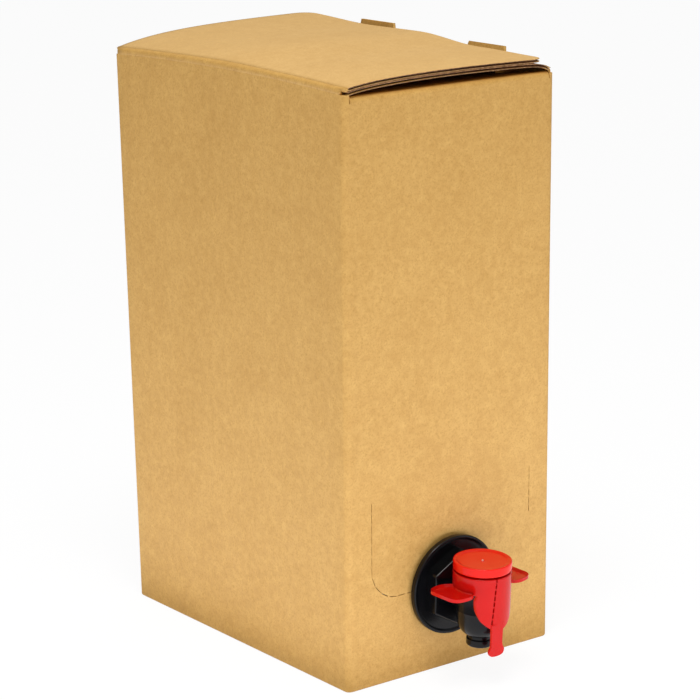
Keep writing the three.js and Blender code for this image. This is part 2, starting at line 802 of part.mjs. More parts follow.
// The elastic diaphragm that closes the chamber and lifts the button again.
function makeDiaphragm() {
  const outer = chamberRadius - 0.1;
  const inner = chamberBore - diaphragmBead;
  const flat = beadBottom + diaphragmWall;
  return atChamber(
    turned([
      [0, domeTop - diaphragmWall],
      [plungerRadius - 2, domeTop - diaphragmWall],
      [inner, domeTop - diaphragmWall - diaphragmRise + 1],
      [inner, beadBottom],
      [outer, beadBottom],
      [outer, retainerUnder - fit],
      [outer - diaphragmBead, retainerUnder - fit],
      [inner, Math.max(flat, domeTop - diaphragmRise + 1)],
      [plungerRadius - 1, domeTop],
      [0, domeTop],
    ]),
  );
}

// The valve stem: a push plate under the diaphragm, a rod through the seat and a foot.
function makeStem() {
  const plate = domeTop - diaphragmWall - fit;
  const sealTop = seatUnder - fit;
  const foot = sealTop - sealThickness - fit;
  return atChamber(
    turned([
      [0, foot - stemFootThickness],
      [stemFoot, foot - stemFootThickness],
      [stemFoot, foot],
      [stemRadius, foot],
      [stemRadius, plate - 3],
      [stemHead, plate - 1.2],
      [stemHead, plate],
      [0, plate],
    ], 24),
  );
}

// The valve's rubber disc, pressed up against the seat.
function makeSeal() {
  const top = seatUnder - fit;
  const hole = stemRadius + fit;
  return atChamber(
    turned([
      [hole, top - sealThickness],
      [sealRadius - 0.8, top - sealThickness],
      [sealRadius, top - 0.6],
      [sealRadius - 0.6, top],
      [hole, top],
      [hole, top - sealThickness],
    ], 24),
  );
}

const finishes = {
  kraft: new THREE.MeshStandardMaterial({ color: 0xc69a5b, roughness: 0.85 }),
  lid: new THREE.MeshStandardMaterial({ color: 0xceA368, roughness: 0.85 }),
  film: new THREE.MeshStandardMaterial({ color: 0xb9bcc0, roughness: 0.3 }),
  natural: new THREE.MeshStandardMaterial({ color: 0xe8e4d8, roughness: 0.45 }),
  black: new THREE.MeshStandardMaterial({ color: 0x0c0c0d, roughness: 0.35 }),
  red: new THREE.MeshStandardMaterial({ color: 0xc81e14, roughness: 0.4 }),
  pad: new THREE.MeshStandardMaterial({ color: 0xd42612, roughness: 0.4 }),
  elastic: new THREE.MeshStandardMaterial({ color: 0xd8d2c6, roughness: 0.7 }),
  seal: new THREE.MeshStandardMaterial({ color: 0x2b2b2d, roughness: 0.8 }),
};

// A named mesh with a finish of its own.
function piece(name, geometry, finish) {
  const mesh = new THREE.Mesh(geometry, finishes[finish].clone());
  mesh.name = name;
  return mesh;
}

const pack = new THREE.Group();
pack.add(piece("carton", makeCarton(), "kraft"));
pack.add(piece("lid", makeLid(), "lid"));
pack.add(piece("bag", makeBag(), "film"));

const tap = new THREE.Group();
tap.position.set(tapPlace, frontFace(tapHeight), tapHeight);
tap.rotation.x = degrees(tapLean);
tap.add(piece("spout", makeSpout(), "natural"));
tap.add(piece("tap_body", makeTapBody(), "black"));
tap.add(piece("grip_cap", makeGripCap(), "red"));
tap.add(piece("push_button", makeButton(), "pad"));
tap.add(piece("diaphragm", makeDiaphragm(), "elastic"));
tap.add(piece("valve_stem", makeStem(), "natural"));
tap.add(piece("valve_seal", makeSeal(), "seal"));
pack.add(tap);

export default pack;
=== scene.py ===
# %% [markdown]
# # Bag in box carton
# A five litre bag in box is a tall carton of thin fluted board, a sealed bag inside it, and a
# push-button tap that comes out of a hole low on the front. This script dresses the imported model:
# it makes the board, the folds and the moulded tap as fine meshes, gives them their finishes, and
# sets a plain studio around them.

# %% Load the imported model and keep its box
import math

import bmesh
import bpy
from mathutils import Matrix, Vector
from mathutils import noise as ripple


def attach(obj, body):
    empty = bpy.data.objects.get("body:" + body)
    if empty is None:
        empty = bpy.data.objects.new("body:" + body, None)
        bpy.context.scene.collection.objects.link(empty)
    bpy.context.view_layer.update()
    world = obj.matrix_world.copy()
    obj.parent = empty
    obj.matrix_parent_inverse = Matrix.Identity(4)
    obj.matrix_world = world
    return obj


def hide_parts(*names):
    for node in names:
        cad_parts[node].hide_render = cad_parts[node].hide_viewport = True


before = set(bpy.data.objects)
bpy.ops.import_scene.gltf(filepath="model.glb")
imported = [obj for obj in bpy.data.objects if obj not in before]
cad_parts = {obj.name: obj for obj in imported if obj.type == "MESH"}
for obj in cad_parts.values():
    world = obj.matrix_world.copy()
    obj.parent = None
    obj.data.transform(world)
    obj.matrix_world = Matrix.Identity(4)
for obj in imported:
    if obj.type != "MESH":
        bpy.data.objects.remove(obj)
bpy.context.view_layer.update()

MM = 0.001
print("pieces to dress:", sorted(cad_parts))

# %% [markdown]
# The board of such a pack is about 1.5 mm thick. All the folds, gaps and flaps follow from that
# and from the outside of the box. The flutes, the waves inside it, are 3.3 mm from crest to crest.
# The lid is not flat. Its free edge springs up, and its front edge bows a little in the middle, so
# its height is worked out from the few places where the photo shows how far.

# %% Sizes of the carton, in millimetres
WIDTH, DEPTH, HEIGHT = 120.8, 177.1, 275.0
LEAN_OUT = 4.4
BOARD = 1.5
FLUTE = 3.3
PLY_GAP = 0.3
CORNER_RADIUS = 3.0
CREASE_RADIUS = 2.4
LEFT, RIGHT = -WIDTH / 2, WIDTH / 2
FRONT, BACK = -DEPTH / 2, DEPTH / 2
RIGHT_CREASE = HEIGHT + BOARD + PLY_GAP
LEFT_CREASE = HEIGHT + 2 * (BOARD + PLY_GAP)
FOLD_BOTTOM = HEIGHT - CREASE_RADIUS - 0.6
CORNER_TOP = HEIGHT - 0.8
PANEL_TOP = LEFT_CREASE - 2.6
FOLD_END = RIGHT - CORNER_RADIUS - 0.5
LID_EDGE = RIGHT - BOARD - 3.2
LID_INSET = 0.4
CROWN = 2.3
EDGE_BOW = 1.0
LOCKS = {"front": (-41.2, 6.0), "rear": (37.5, 9.3)}
LOCK_LEANS = {"front": 14, "rear": 4}
LOCK_WIDTH = 30.5
RISES = (
    (FRONT, 2.5),
    (LOCKS["front"][0], 3.3),
    (0.0, 6.4),
    (LOCKS["rear"][0], 6.0),
    (BACK, 8.0),
)
print("carton:", WIDTH, "x", DEPTH, "x", HEIGHT, "mm, with a board of", BOARD, "mm")


# %% Height of the lid and of the flap below it
def smooth(t):
    t = min(max(t, 0.0), 1.0)
    return t * t * (3 - 2 * t)


def edge_rise(y):
    """How far the lid's free edge has sprung up at this place."""
    for (y0, low), (y1, high) in zip(RISES, RISES[1:]):
        if y <= y1:
            return low + (high - low) * smooth((y - y0) / (y1 - y0))
    return RISES[-1][1]


def lid_top(x, y):
    across = min(max((x - LEFT) / (LID_EDGE - LEFT), 0.0), 1.0)
    along = min(max((y - FRONT) / DEPTH, 0.0), 1.0)
    bend = 8.0 - 4.0 * along
    rise = (1 - math.exp(-bend * across)) / (1 - math.exp(-bend))
    arch = CROWN * 4 * along * (1 - along) * (1 - across)
    bow = EDGE_BOW * math.sin(math.pi * across) * (1 - along)
    return LEFT_CREASE + arch + bow + edge_rise(y) * rise


def inner_top(x, y):
    share = 1 - math.exp(-max(0.0, RIGHT - CREASE_RADIUS - x) / 4.0)
    return RIGHT_CREASE + (lid_top(x, y) - BOARD - PLY_GAP - RIGHT_CREASE) * share


def leant(point):
    """Tips the front and back panels out, in proportion to the height."""
    return Vector((point.x, point.y * (1 + LEAN_OUT / BACK * point.z / HEIGHT), point.z))


print("lid height at its right edge:", [round(lid_top(LID_EDGE, y), 1) for y in (FRONT, 0, BACK)])


# %% [markdown]
# Every new piece is made in millimetres in its own simple place, then moved there in its mesh, so
# that its object can stay at the origin. This helper closes a bmesh into such an object.

# %% Turn a bmesh into a piece
def finish_piece(bm, name, body, nodes, sharp=35.0, place=None):
    bmesh.ops.remove_doubles(bm, verts=bm.verts, dist=0.0005)
    bmesh.ops.recalc_face_normals(bm, faces=bm.faces)
    bmesh.ops.scale(bm, vec=(MM, MM, MM), verts=bm.verts)
    if place is not None:
        bmesh.ops.transform(bm, matrix=place, verts=bm.verts)
    mesh = bpy.data.meshes.new(name)
    bm.to_mesh(mesh)
    bm.free()
    mesh.shade_smooth()
    mesh.set_sharp_from_angle(angle=math.radians(sharp))
    piece = bpy.data.objects.new(name, mesh)
    bpy.context.scene.collection.objects.link(piece)
    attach(piece, body)
    if nodes:
        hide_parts(*nodes)
    print(f"{name}: {len(mesh.polygons)} faces")
    return piece


# %% [markdown]
# ## The camera
# The photo was matched by fitting a camera to the carton's corners. It stands to the left of the
# front, a little above the lid, with a long lens. The sensor is 36 mm wide and the picture square.

# %% Camera at the photo's viewing angle
PICTURE = 700
FOCAL_PIXELS = 2608.3
camera_data = bpy.data.cameras.new("camera")
camera_data.sensor_fit = "HORIZONTAL"
camera_data.sensor_width = 36.0
camera_data.lens = FOCAL_PIXELS / PICTURE * camera_data.sensor_width
camera = bpy.data.objects.new("camera", camera_data)
camera_right = Vector((0.79863, -0.60159, -0.01655))
camera_up = Vector((0.16051, 0.18641, 0.96927))
camera_back = -Vector((0.58002, 0.77675, -0.24543))
camera.matrix_world = Matrix.Translation((-0.72675, -0.98674, 0.44554)) @ Matrix(
    (camera_right, camera_up, camera_back)
).transposed().to_4x4()
bpy.context.scene.collection.objects.link(camera)
bpy.context.scene.camera = camera
print("lens:", round(camera_data.lens, 1), "mm")


# %% [markdown]
# ## Kraft board
# Kraft paper is brown all through, with paler and darker fibres, faint clouds, and shallow lines
# where the flutes press through its face. The flutes stand upright in the panels and run across
# the lid, so the waves are counted along X on the front and back, and along Y on all other faces.

# %% Node helpers
def new_material(name):
    material = bpy.data.materials.new(name)
    material.use_nodes = True
    tree = material.node_tree
    shader = next(node for node in tree.nodes if node.type == "BSDF_PRINCIPLED")
    return material, tree, shader


def add(tree, kind, **values):
    node = tree.nodes.new(kind)
    for key, value in values.items():
        if hasattr(node, key):
            setattr(node, key, value)
        else:
            node.inputs[key.replace("_", " ")].default_value = value
    return node


def noise(tree, vector, scale, detail, rough):
    node = add(tree, "ShaderNodeTexNoise", Scale=scale, Detail=detail, Roughness=rough)
    tree.links.new(vector, node.inputs["Vector"])
    return node.outputs["Fac"]


def maths(tree, operation, a, b=None, c=None):
    node = add(tree, "ShaderNodeMath", operation=operation)
    for socket, value in zip(node.inputs, (a, b, c)):
        if value is None:
            continue
        if isinstance(value, (int, float)):
            socket.default_value = value
        else:
            tree.links.new(value, socket)
    return node.outputs[0]


def remap(tree, value, low, high, to_low, to_high):
    node = add(tree, "ShaderNodeMapRange")
    tree.links.new(value, node.inputs["Value"])
    keys = ("From Min", "From Max", "To Min", "To Max")
    for key, number in zip(keys, (low, high, to_low, to_high)):
        node.inputs[key].default_value = number
    return node.outputs["Result"]


def blend_colours(tree, share, a, b):
    node = add(tree, "ShaderNodeMix", data_type="RGBA")
    for index, value in ((0, share), (6, a), (7, b)):
        if isinstance(value, tuple):
            node.inputs[index].default_value = (*value, 1.0)
        elif isinstance(value, (int, float)):
            node.inputs[index].default_value = value
        else:
            tree.links.new(value, node.inputs[index])
    return node.outputs[2]


# %% The kraft material
def kraft(name, base, dark, pale, flute_axis=None):
    material, tree, shader = new_material(name)
    place = add(tree, "ShaderNodeTexCoord").outputs["Object"]
    split = add(tree, "ShaderNodeSeparateXYZ")
    tree.links.new(place, split.inputs[0])
    if flute_axis == "Y":
        across = split.outputs["Y"]
    else:
        facing = add(tree, "ShaderNodeSeparateXYZ")
        tree.links.new(add(tree, "ShaderNodeNewGeometry").outputs["Normal"], facing.inputs[0])
        on_front = maths(tree, "GREATER_THAN", maths(tree, "ABSOLUTE", facing.outputs["Y"]), 0.7)
        flip = maths(tree, "SUBTRACT", 1.0, on_front)
        across = maths(
            tree,
            "ADD",
            maths(tree, "MULTIPLY", split.outputs["X"], on_front),
            maths(tree, "MULTIPLY", split.outputs["Y"], flip),
        )
    wave = maths(tree, "SINE", maths(tree, "MULTIPLY", across, 2 * math.pi / (FLUTE * MM)))
    clouds = noise(tree, place, 38.0, 4.0, 0.6)
    mottle = noise(tree, place, 260.0, 3.0, 0.65)
    fibre = noise(tree, place, 1000.0, 3.0, 0.75)
    colour = blend_colours(tree, remap(tree, clouds, 0.3, 0.7, 0.0, 0.38), base, dark)
    colour = blend_colours(tree, remap(tree, mottle, 0.35, 0.75, 0.0, 0.5), colour, pale)
    colour = blend_colours(tree, remap(tree, fibre, 0.48, 0.72, 0.0, 0.75), colour, dark)
    tree.links.new(colour, shader.inputs["Base Color"])
    tree.links.new(remap(tree, mottle, 0.3, 0.7, 0.62, 0.78), shader.inputs["Roughness"])
    shader.inputs["Specular IOR Level"].default_value = 0.35
    height = maths(tree, "MULTIPLY", wave, 0.35)
    height = maths(tree, "MULTIPLY_ADD", fibre, 1.0, height)
    height = maths(tree, "MULTIPLY_ADD", mottle, 0.8, height)
    bump = add(tree, "ShaderNodeBump", Strength=0.35, Distance=0.00012)
    tree.links.new(height, bump.inputs["Height"])
    tree.links.new(bump.outputs[0], shader.inputs["Normal"])
    return material


kraft_panel = kraft("kraft_board", (0.56, 0.312, 0.072), (0.42, 0.210, 0.035), (0.70, 0.425, 0.12))
# The lid's copy of the board is paler and less yellow than the panels' as painted light: it stands
# in for the light and sheen that fall on the lid from above.
kraft_lid = kraft("kraft_lid", (0.63, 0.385, 0.130), (0.54, 0.305, 0.085), (0.74, 0.48, 0.19), "Y")
print("liners:", kraft_panel.name, "and", kraft_lid.name)


# %% The medium between the liners, darkened as painted shade, and the cut edges
def raw_board_and_shade(name, low, high):
    material, tree, shader = new_material(name)
    place = add(tree, "ShaderNodeTexCoord").outputs["Object"]
    grain = noise(tree, place, 700.0, 3.0, 0.6)
    colour = blend_colours(tree, remap(tree, grain, 0.35, 0.65, 0.0, 1.0), low, high)
    tree.links.new(colour, shader.inputs["Base Color"])
    shader.inputs["Roughness"].default_value = 0.9
    bump = add(tree, "ShaderNodeBump", Strength=0.5, Distance=0.0001)
    tree.links.new(grain, bump.inputs["Height"])
    tree.links.new(bump.outputs[0], shader.inputs["Normal"])
    return material


# The medium's very dark brown is painted shade: it stands for the shade in the recess between the
# two liners.
kraft_medium_painted_shade = raw_board_and_shade("kraft_medium_painted_shade", (0.060, 0.024, 0.010), (0.17, 0.075, 0.030))
# The cut edges are darker than the liners partly from their raw fibre and partly as painted shade
# on the narrow edge faces.
kraft_cut_fibre_and_shade = raw_board_and_shade("kraft_cut_fibre_and_shade", (0.12, 0.048, 0.018), (0.50, 0.270, 0.115))
print("inner papers:", kraft_medium_painted_shade.name, "and", kraft_cut_fibre_and_shade.name)


# %% [markdown]
# ## Moulded plastic
# The tap is injection moulded. Its faces are smooth with a fine, slightly uneven gloss, so both
# plastics get a little roughness variation and a bump far smaller than a scratch.

# %% Plastic finishes
def plastic(name, colour, tint, roughness, gloss=0.5):
    material, tree, shader = new_material(name)
    place = add(tree, "ShaderNodeTexCoord").outputs["Object"]
    flow = noise(tree, place, 90.0, 3.0, 0.5)
    grain = noise(tree, place, 2600.0, 2.0, 0.5)
    tree.links.new(blend_colours(tree, flow, colour, tint), shader.inputs["Base Color"])
    low, high = roughness
    tree.links.new(remap(tree, flow, 0.3, 0.7, low, high), shader.inputs["Roughness"])
    shader.inputs["Specular IOR Level"].default_value = gloss
    bump = add(tree, "ShaderNodeBump", Strength=0.12, Distance=0.00004)
    tree.links.new(grain, bump.inputs["Height"])
    tree.links.new(bump.outputs[0], shader.inputs["Normal"])
    return material


black_plastic = plastic(
    "black_plastic", (0.0015, 0.0015, 0.0018), (0.003, 0.003, 0.003), (0.18, 0.26), 0.30
)
red_plastic = plastic(
    "red_plastic", (0.45, 0.004, 0.002), (0.51, 0.006, 0.003), (0.08, 0.14), 0.30
)
red_pad = plastic("red_pad", (0.65, 0.006, 0.001), (0.70, 0.008, 0.001), (0.08, 0.14), 0.34)
white_plastic = plastic("white_plastic", (0.78, 0.76, 0.70), (0.84, 0.82, 0.77), (0.35, 0.5))
# This pale colour is a painted highlight for the glint on the gate nub.
gate_nub_painted_glint = plastic("gate_nub_painted_glint", (0.80, 0.42, 0.34), (0.90, 0.60, 0.52), (0.4, 0.5))
rubber = plastic("seal_rubber", (0.02, 0.02, 0.02), (0.035, 0.035, 0.035), (0.6, 0.75))
elastic = plastic("elastic_dome", (0.62, 0.58, 0.52), (0.70, 0.66, 0.60), (0.5, 0.65))
film = plastic("bag_film", (0.55, 0.56, 0.58), (0.66, 0.67, 0.69), (0.16, 0.3))

for node, material in (
    ("carton", kraft_panel),
    ("lid", kraft_lid),
    ("bag", film),
    ("spout", white_plastic),
    ("tap_body", black_plastic),
    ("grip_cap", red_plastic),
    ("push_button", red_pad),
    ("diaphragm", elastic),
    ("valve_stem", white_plastic),
    ("valve_seal", rubber),
):
    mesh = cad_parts[node].data
    mesh.materials.clear()
    mesh.materials.append(material)
    print(node, "is covered with", material.name)

# %% [markdown]
# ## Tools for the shapes
# Sheets and mouldings come from a few operators: a run of edges that is extruded or spun, and a
# flat outline that is extruded. A rounded outline starts as its sharp corners, and each corner is
# then replaced by a short curve.

# %% Outlines, spins and slabs
def rounded(points, radii, closed=True, steps=5):
    """The same outline with each corner replaced by a curve of about that radius."""
    if isinstance(radii, (int, float)):
        radii = [radii] * len(points)
    made = []
    for index, (point, radius) in enumerate(zip(points, radii)):
        here = Vector(point)
        if radius == 0 or (not closed and index in (0, len(points) - 1)):
            made.append(tuple(here))
            continue
        before = Vector(points[index - 1]) - here
        after = Vector(points[(index + 1) % len(points)]) - here
        reach = min(radius, before.length / 2, after.length / 2)
        start = here + before.normalized() * reach
        end = here + after.normalized() * reach
        for step in range(steps + 1):
            t = step / steps
            made.append(tuple(start * (1 - t) ** 2 + here * 2 * t * (1 - t) + end * t * t))
    return made


def chain(bm, points, closed=False):
    verts = [bm.verts.new(point) for point in points]
    pairs = list(zip(verts, verts[1:]))
    if closed:
        pairs.append((verts[-1], verts[0]))
    return verts, [bm.edges.new(pair) for pair in pairs]


def spun(profile, steps):
    """A body of revolution about Z from a profile of radius and height."""
    bm = bmesh.new()
    verts, edges = chain(bm, [(radius, 0.0, level) for radius, level in profile])
    bmesh.ops.spin(
        bm,
        geom=verts + edges,
        cent=(0, 0, 0),
        axis=(0, 0, 1),
        angle=2 * math.pi,
        steps=steps,
        use_merge=True,
        use_duplicate=False,
    )
    bmesh.ops.remove_doubles(bm, verts=bm.verts, dist=0.001)
    bmesh.ops.recalc_face_normals(bm, faces=bm.faces)
    return bm


def slab(outline, along, low, high):
    """A flat outline extruded along one axis; the outline's numbers are the other two axes."""
    bm = bmesh.new()
    order = {
        "X": lambda a, b: (low, a, b),
        "Y": lambda a, b: (a, low, b),
        "Z": lambda a, b: (a, b, low),
    }
    verts, _ = chain(bm, [order[along](a, b) for a, b in outline], closed=True)
    face = bm.faces.new(verts)
    far = verts_of(bmesh.ops.extrude_face_region(bm, geom=[face])["geom"])
    step = {"X": (high - low, 0, 0), "Y": (0, high - low, 0), "Z": (0, 0, high - low)}[along]
    bmesh.ops.translate(bm, vec=step, verts=far)
    bmesh.ops.recalc_face_normals(bm, faces=bm.faces)
    return bm


# %% [markdown]
# Holes and slits are cut with a second closed form, such as a thin block put in its place. Several
# blades that don't touch are joined first and cut in one go. The board's thickness and the small
# rounding of its edges are modifiers, so the sheet below them stays easy to shape.

# %% Blocks, cuts and modifiers
def block(size):
    bm = bmesh.new()
    bmesh.ops.create_cube(bm, size=1.0)
    bmesh.ops.scale(bm, vec=size, verts=bm.verts)
    return bm


def moved(bm, step):
    bmesh.ops.translate(bm, vec=step, verts=bm.verts)
    return bm


def turned(bm, angle, axis):
    bmesh.ops.rotate(bm, cent=(0, 0, 0), matrix=Matrix.Rotation(angle, 3, axis), verts=bm.verts)
    return bm


def sliced(bm, place, normal):
    """Adds a line of edges where a plane meets the mesh."""
    geometry = bm.verts[:] + bm.edges[:] + bm.faces[:]
    bmesh.ops.bisect_plane(bm, geom=geometry, plane_co=place, plane_no=normal)


def verts_of(geometry):
    return [item for item in geometry if isinstance(item, bmesh.types.BMVert)]


def edges_of(geometry):
    return [item for item in geometry if isinstance(item, bmesh.types.BMEdge)]


def joined(*parts):
    """Several bmeshes as one; the parts are used up."""
    whole = bmesh.new()
    for part in parts:
        mesh = bpy.data.meshes.new("part")
        part.to_mesh(mesh)
        part.free()
        whole.from_mesh(mesh)
        bpy.data.meshes.remove(mesh)
    return whole


def combined(bm, other, operation):
    """The first form cut by, or limited to, the second."""
    objects = []
    for index, part in enumerate((bm, other)):
        mesh = bpy.data.meshes.new(f"part_{index}")
        part.to_mesh(mesh)
        part.free()
        objects.append(bpy.data.objects.new(f"part_{index}", mesh))
        bpy.context.scene.collection.objects.link(objects[-1])
    modifier = objects[0].modifiers.new("cut", "BOOLEAN")
    modifier.operation = operation
    modifier.solver = "EXACT"
    modifier.object = objects[1]
    graph = bpy.context.evaluated_depsgraph_get()
    mesh = bpy.data.meshes.new_from_object(objects[0].evaluated_get(graph))
    made = bmesh.new()
    made.from_mesh(mesh)
    if not made.faces:
        raise ValueError("a cut has left nothing")
    bpy.data.meshes.remove(mesh)
    for thing in objects:
        old = thing.data
        bpy.data.objects.remove(thing)
        bpy.data.meshes.remove(old)
    return made


def bevelled(piece, width, segments, limit):
    modifier = piece.modifiers.new("rounding", "BEVEL")
    modifier.width = width * MM
    modifier.segments = segments
    modifier.limit_method = "ANGLE"
    modifier.angle_limit = math.radians(limit)
    modifier.harden_normals = False
    return piece


def thickened(piece, thickness, offset):
    modifier = piece.modifiers.new("board", "SOLIDIFY")
    modifier.thickness = thickness * MM
    modifier.offset = offset
    modifier.use_even_offset = True
    return piece


def covered(piece, *materials):
    for material in materials:
        piece.data.materials.append(material)
    return piece


# %% [markdown]
# ## The carton
# The real carton is one blank of fluted board: creased, folded round and glued. It could be cut
# out flat and folded, but a tube that starts from a box keeps the corners square. So a box gets
# its four upright corners rounded, its top is opened, and the folds are then spun and extruded
# from the top edges of the panels, as the board itself turns over there.

# %% Body of the carton
def near(a, b):
    return abs(a - b) < 0.01


bm = moved(block((WIDTH, DEPTH, HEIGHT)), (0, 0, HEIGHT / 2))
upright = [e for e in bm.edges if abs(e.verts[0].co.z - e.verts[1].co.z) > 1]
bmesh.ops.bevel(
    bm, geom=upright, offset=CORNER_RADIUS, segments=6, profile=0.5, affect="EDGES", material=-1
)
lids = [f for f in bm.faces if abs(f.normal.z) > 0.9 and f.calc_center_median().z > 1]
bmesh.ops.delete(bm, geom=lids, context="FACES_ONLY")
floor_edges = [e for e in bm.edges if all(v.co.z < 0.01 for v in e.verts)]
bmesh.ops.bevel(
    bm, geom=floor_edges, offset=0.9, segments=3, profile=0.5, affect="EDGES", material=-1
)
levels = [12 * step for step in range(1, 22)] + [FOLD_BOTTOM, CORNER_TOP]
for level in levels:
    sliced(bm, (0, 0, level), (0, 0, 1))
lock_ends = [LOCKS[k][0] + side * (LOCK_WIDTH / 2 - PLY_GAP) for k in LOCKS for side in (-1, 1)]
for place in [step * 15.0 for step in range(-5, 6)] + lock_ends:
    sliced(bm, (0, place, 0), (0, 1, 0))
for place in [step * 15.0 for step in range(-3, 4)] + [-FOLD_END, FOLD_END]:
    sliced(bm, (place, 0, 0), (1, 0, 0))
above = []
for face in bm.faces:
    middle = face.calc_center_median()
    corner = abs(middle.x) > RIGHT - CORNER_RADIUS and abs(middle.y) > BACK - CORNER_RADIUS
    if middle.z > CORNER_TOP or (middle.z > FOLD_BOTTOM and not corner):
        above.append(face)
bmesh.ops.delete(bm, geom=above, context="FACES")
print("carton tube:", len(bm.faces), "faces")


# %% Folds above the front and back panels, with their dust flaps
def rim(bm, test):
    """The open edges at the foot of the folds whose middle passes the test."""
    return [
        e
        for e in bm.edges
        if e.is_boundary
        and all(near(v.co.z, FOLD_BOTTOM) for v in e.verts)
        and test((e.verts[0].co + e.verts[1].co) / 2)
    ]


def pulled(bm, edges, step):
    """Extrudes a row of edges by a step, and returns the new row."""
    made = bmesh.ops.extrude_edge_only(bm, edges=edges)["geom"]
    verts = verts_of(made)
    bmesh.ops.translate(bm, vec=step, verts=verts)
    return verts, edges_of(made)


def turned_over(bm, edges, centre, axis, angle):
    """Spins a row of edges about an axis, as the board turns over at a crease."""
    made = bmesh.ops.spin(
        bm,
        geom=list({v for e in edges for v in e.verts}) + edges,
        cent=centre,
        axis=axis,
        angle=angle,
        steps=6,
        use_duplicate=False,
    )
    return edges_of(made["geom_last"])


DUST_FLAP, DUST_DROOP, DUST_NARROW = 62.0, math.radians(6.0), 49.0
DUST_FLAT, DUST_TAPER = 1.6, 8.0
for side in (-1, 1):
    edges = rim(bm, lambda middle: near(middle.y, side * BACK) and abs(middle.x) < FOLD_END)
    _, edges = pulled(bm, edges, (0, 0, HEIGHT - CREASE_RADIUS - FOLD_BOTTOM))
    centre = (0, side * (BACK - CREASE_RADIUS), HEIGHT - CREASE_RADIUS)
    edges = turned_over(bm, edges, centre, (side, 0, 0), math.pi / 2 - DUST_DROOP)
    inwards = Vector((0, -side * math.cos(DUST_DROOP), -math.sin(DUST_DROOP)))
    _, edges = pulled(bm, edges, inwards * DUST_FLAT)
    verts, edges = pulled(bm, edges, inwards * DUST_TAPER)
    for vert in verts:
        vert.co.x *= DUST_NARROW / (RIGHT - CORNER_RADIUS)
    for _ in range(4):
        _, edges = pulled(bm, edges, inwards * (DUST_FLAP - DUST_FLAT - DUST_TAPER) / 4)
print("with dust flaps:", len(bm.faces), "faces")

# %% Fold above the right panel, and the two strips that stay upright
for key, (y0, height) in LOCKS.items():
    half = LOCK_WIDTH / 2
    edges = rim(bm, lambda middle: near(middle.x, RIGHT) and abs(middle.y - y0) < half)
    _, edges = pulled(bm, edges, (0, 0, RIGHT_CREASE - CREASE_RADIUS - FOLD_BOTTOM))
    angle = math.radians(LOCK_LEANS[key])
    up = Vector((math.sin(angle), 0, math.cos(angle)))
    length = height + CREASE_RADIUS
    for _ in range(4):
        verts, edges = pulled(bm, edges, up * length * 0.25)
        for vert in verts:
            vert.co.y -= (vert.co.y - y0) / half * 3 * 0.25
edges = rim(bm, lambda middle: near(middle.x, RIGHT))
_, edges = pulled(bm, edges, (0, 0, RIGHT_CREASE - CREASE_RADIUS - FOLD_BOTTOM))
centre = (RIGHT - CREASE_RADIUS, 0, RIGHT_CREASE - CREASE_RADIUS)
turned_over(bm, edges, centre, (0, -1, 0), math.radians(90))
edges = rim(bm, lambda middle: near(middle.x, LEFT))
verts, edges = pulled(bm, edges, (0, 0, PANEL_TOP - FOLD_BOTTOM))
for vert in verts:
    vert.co.z += lid_top(LEFT, vert.co.y) - LEFT_CREASE
for vert in bm.verts:
    if near(vert.co.z, CORNER_TOP) and vert.co.x < 0 and abs(vert.co.x) > FOLD_END + 0.1:
        vert.co.z = PANEL_TOP
for vert in bm.verts:
    vert.co = leant(vert.co)
bmesh.ops.recalc_face_normals(bm, faces=bm.faces)
print("with folds:", len(bm.faces), "faces")

# %% [markdown]
# The front panel has a round hole for the tap and a tear line, a row of short cuts that frees a
# flap, so that the tap can be pulled out. Both are cut through the real board, so they are cut
# here with closed forms, once the sheet has its thickness. The narrow seam beside the bottom
# flap, near the right panel, is cut in the same way.

# %% The sheet with its thickness
TAP_PLACE, TAP_HEIGHT = -1.0, 41.2
HOLE_RADIUS = 16.0
TEAR_HALF, TEAR_TOP, TEAR_CORNER, TEAR_MIDDLE = 46.9, 88.5, 15.0, 0.5
LONG_CUT, SHORT_CUT, SHORT_RUN = 4.2, 3.0, 24.0
LAND, KERF = 0.9, 0.34
SEAM_WIDTH, SEAM_HEIGHT, SEAM_INSET = 1.2, 2.6, 3.6
tube = bpy.data.objects.new("tube", bpy.data.meshes.new("tube"))
front_face = min(bm.faces, key=lambda f: f.calc_center_median().y)
if front_face.normal.y > 0:
    bmesh.ops.reverse_faces(bm, faces=bm.faces)
bm.to_mesh(tube.data)
bm.free()
bpy.context.scene.collection.objects.link(tube)
wall = tube.modifiers.new("board", "SOLIDIFY")
wall.thickness, wall.offset, wall.use_even_offset = BOARD, -1.0, True
graph = bpy.context.evaluated_depsgraph_get()
solid_mesh = bpy.data.meshes.new_from_object(tube.evaluated_get(graph))
old = tube.data
bpy.data.objects.remove(tube)
bpy.data.meshes.remove(old)
carton_bm = bmesh.new()
carton_bm.from_mesh(solid_mesh)
bpy.data.meshes.remove(solid_mesh)
print("board with its thickness:", len(carton_bm.faces), "faces")

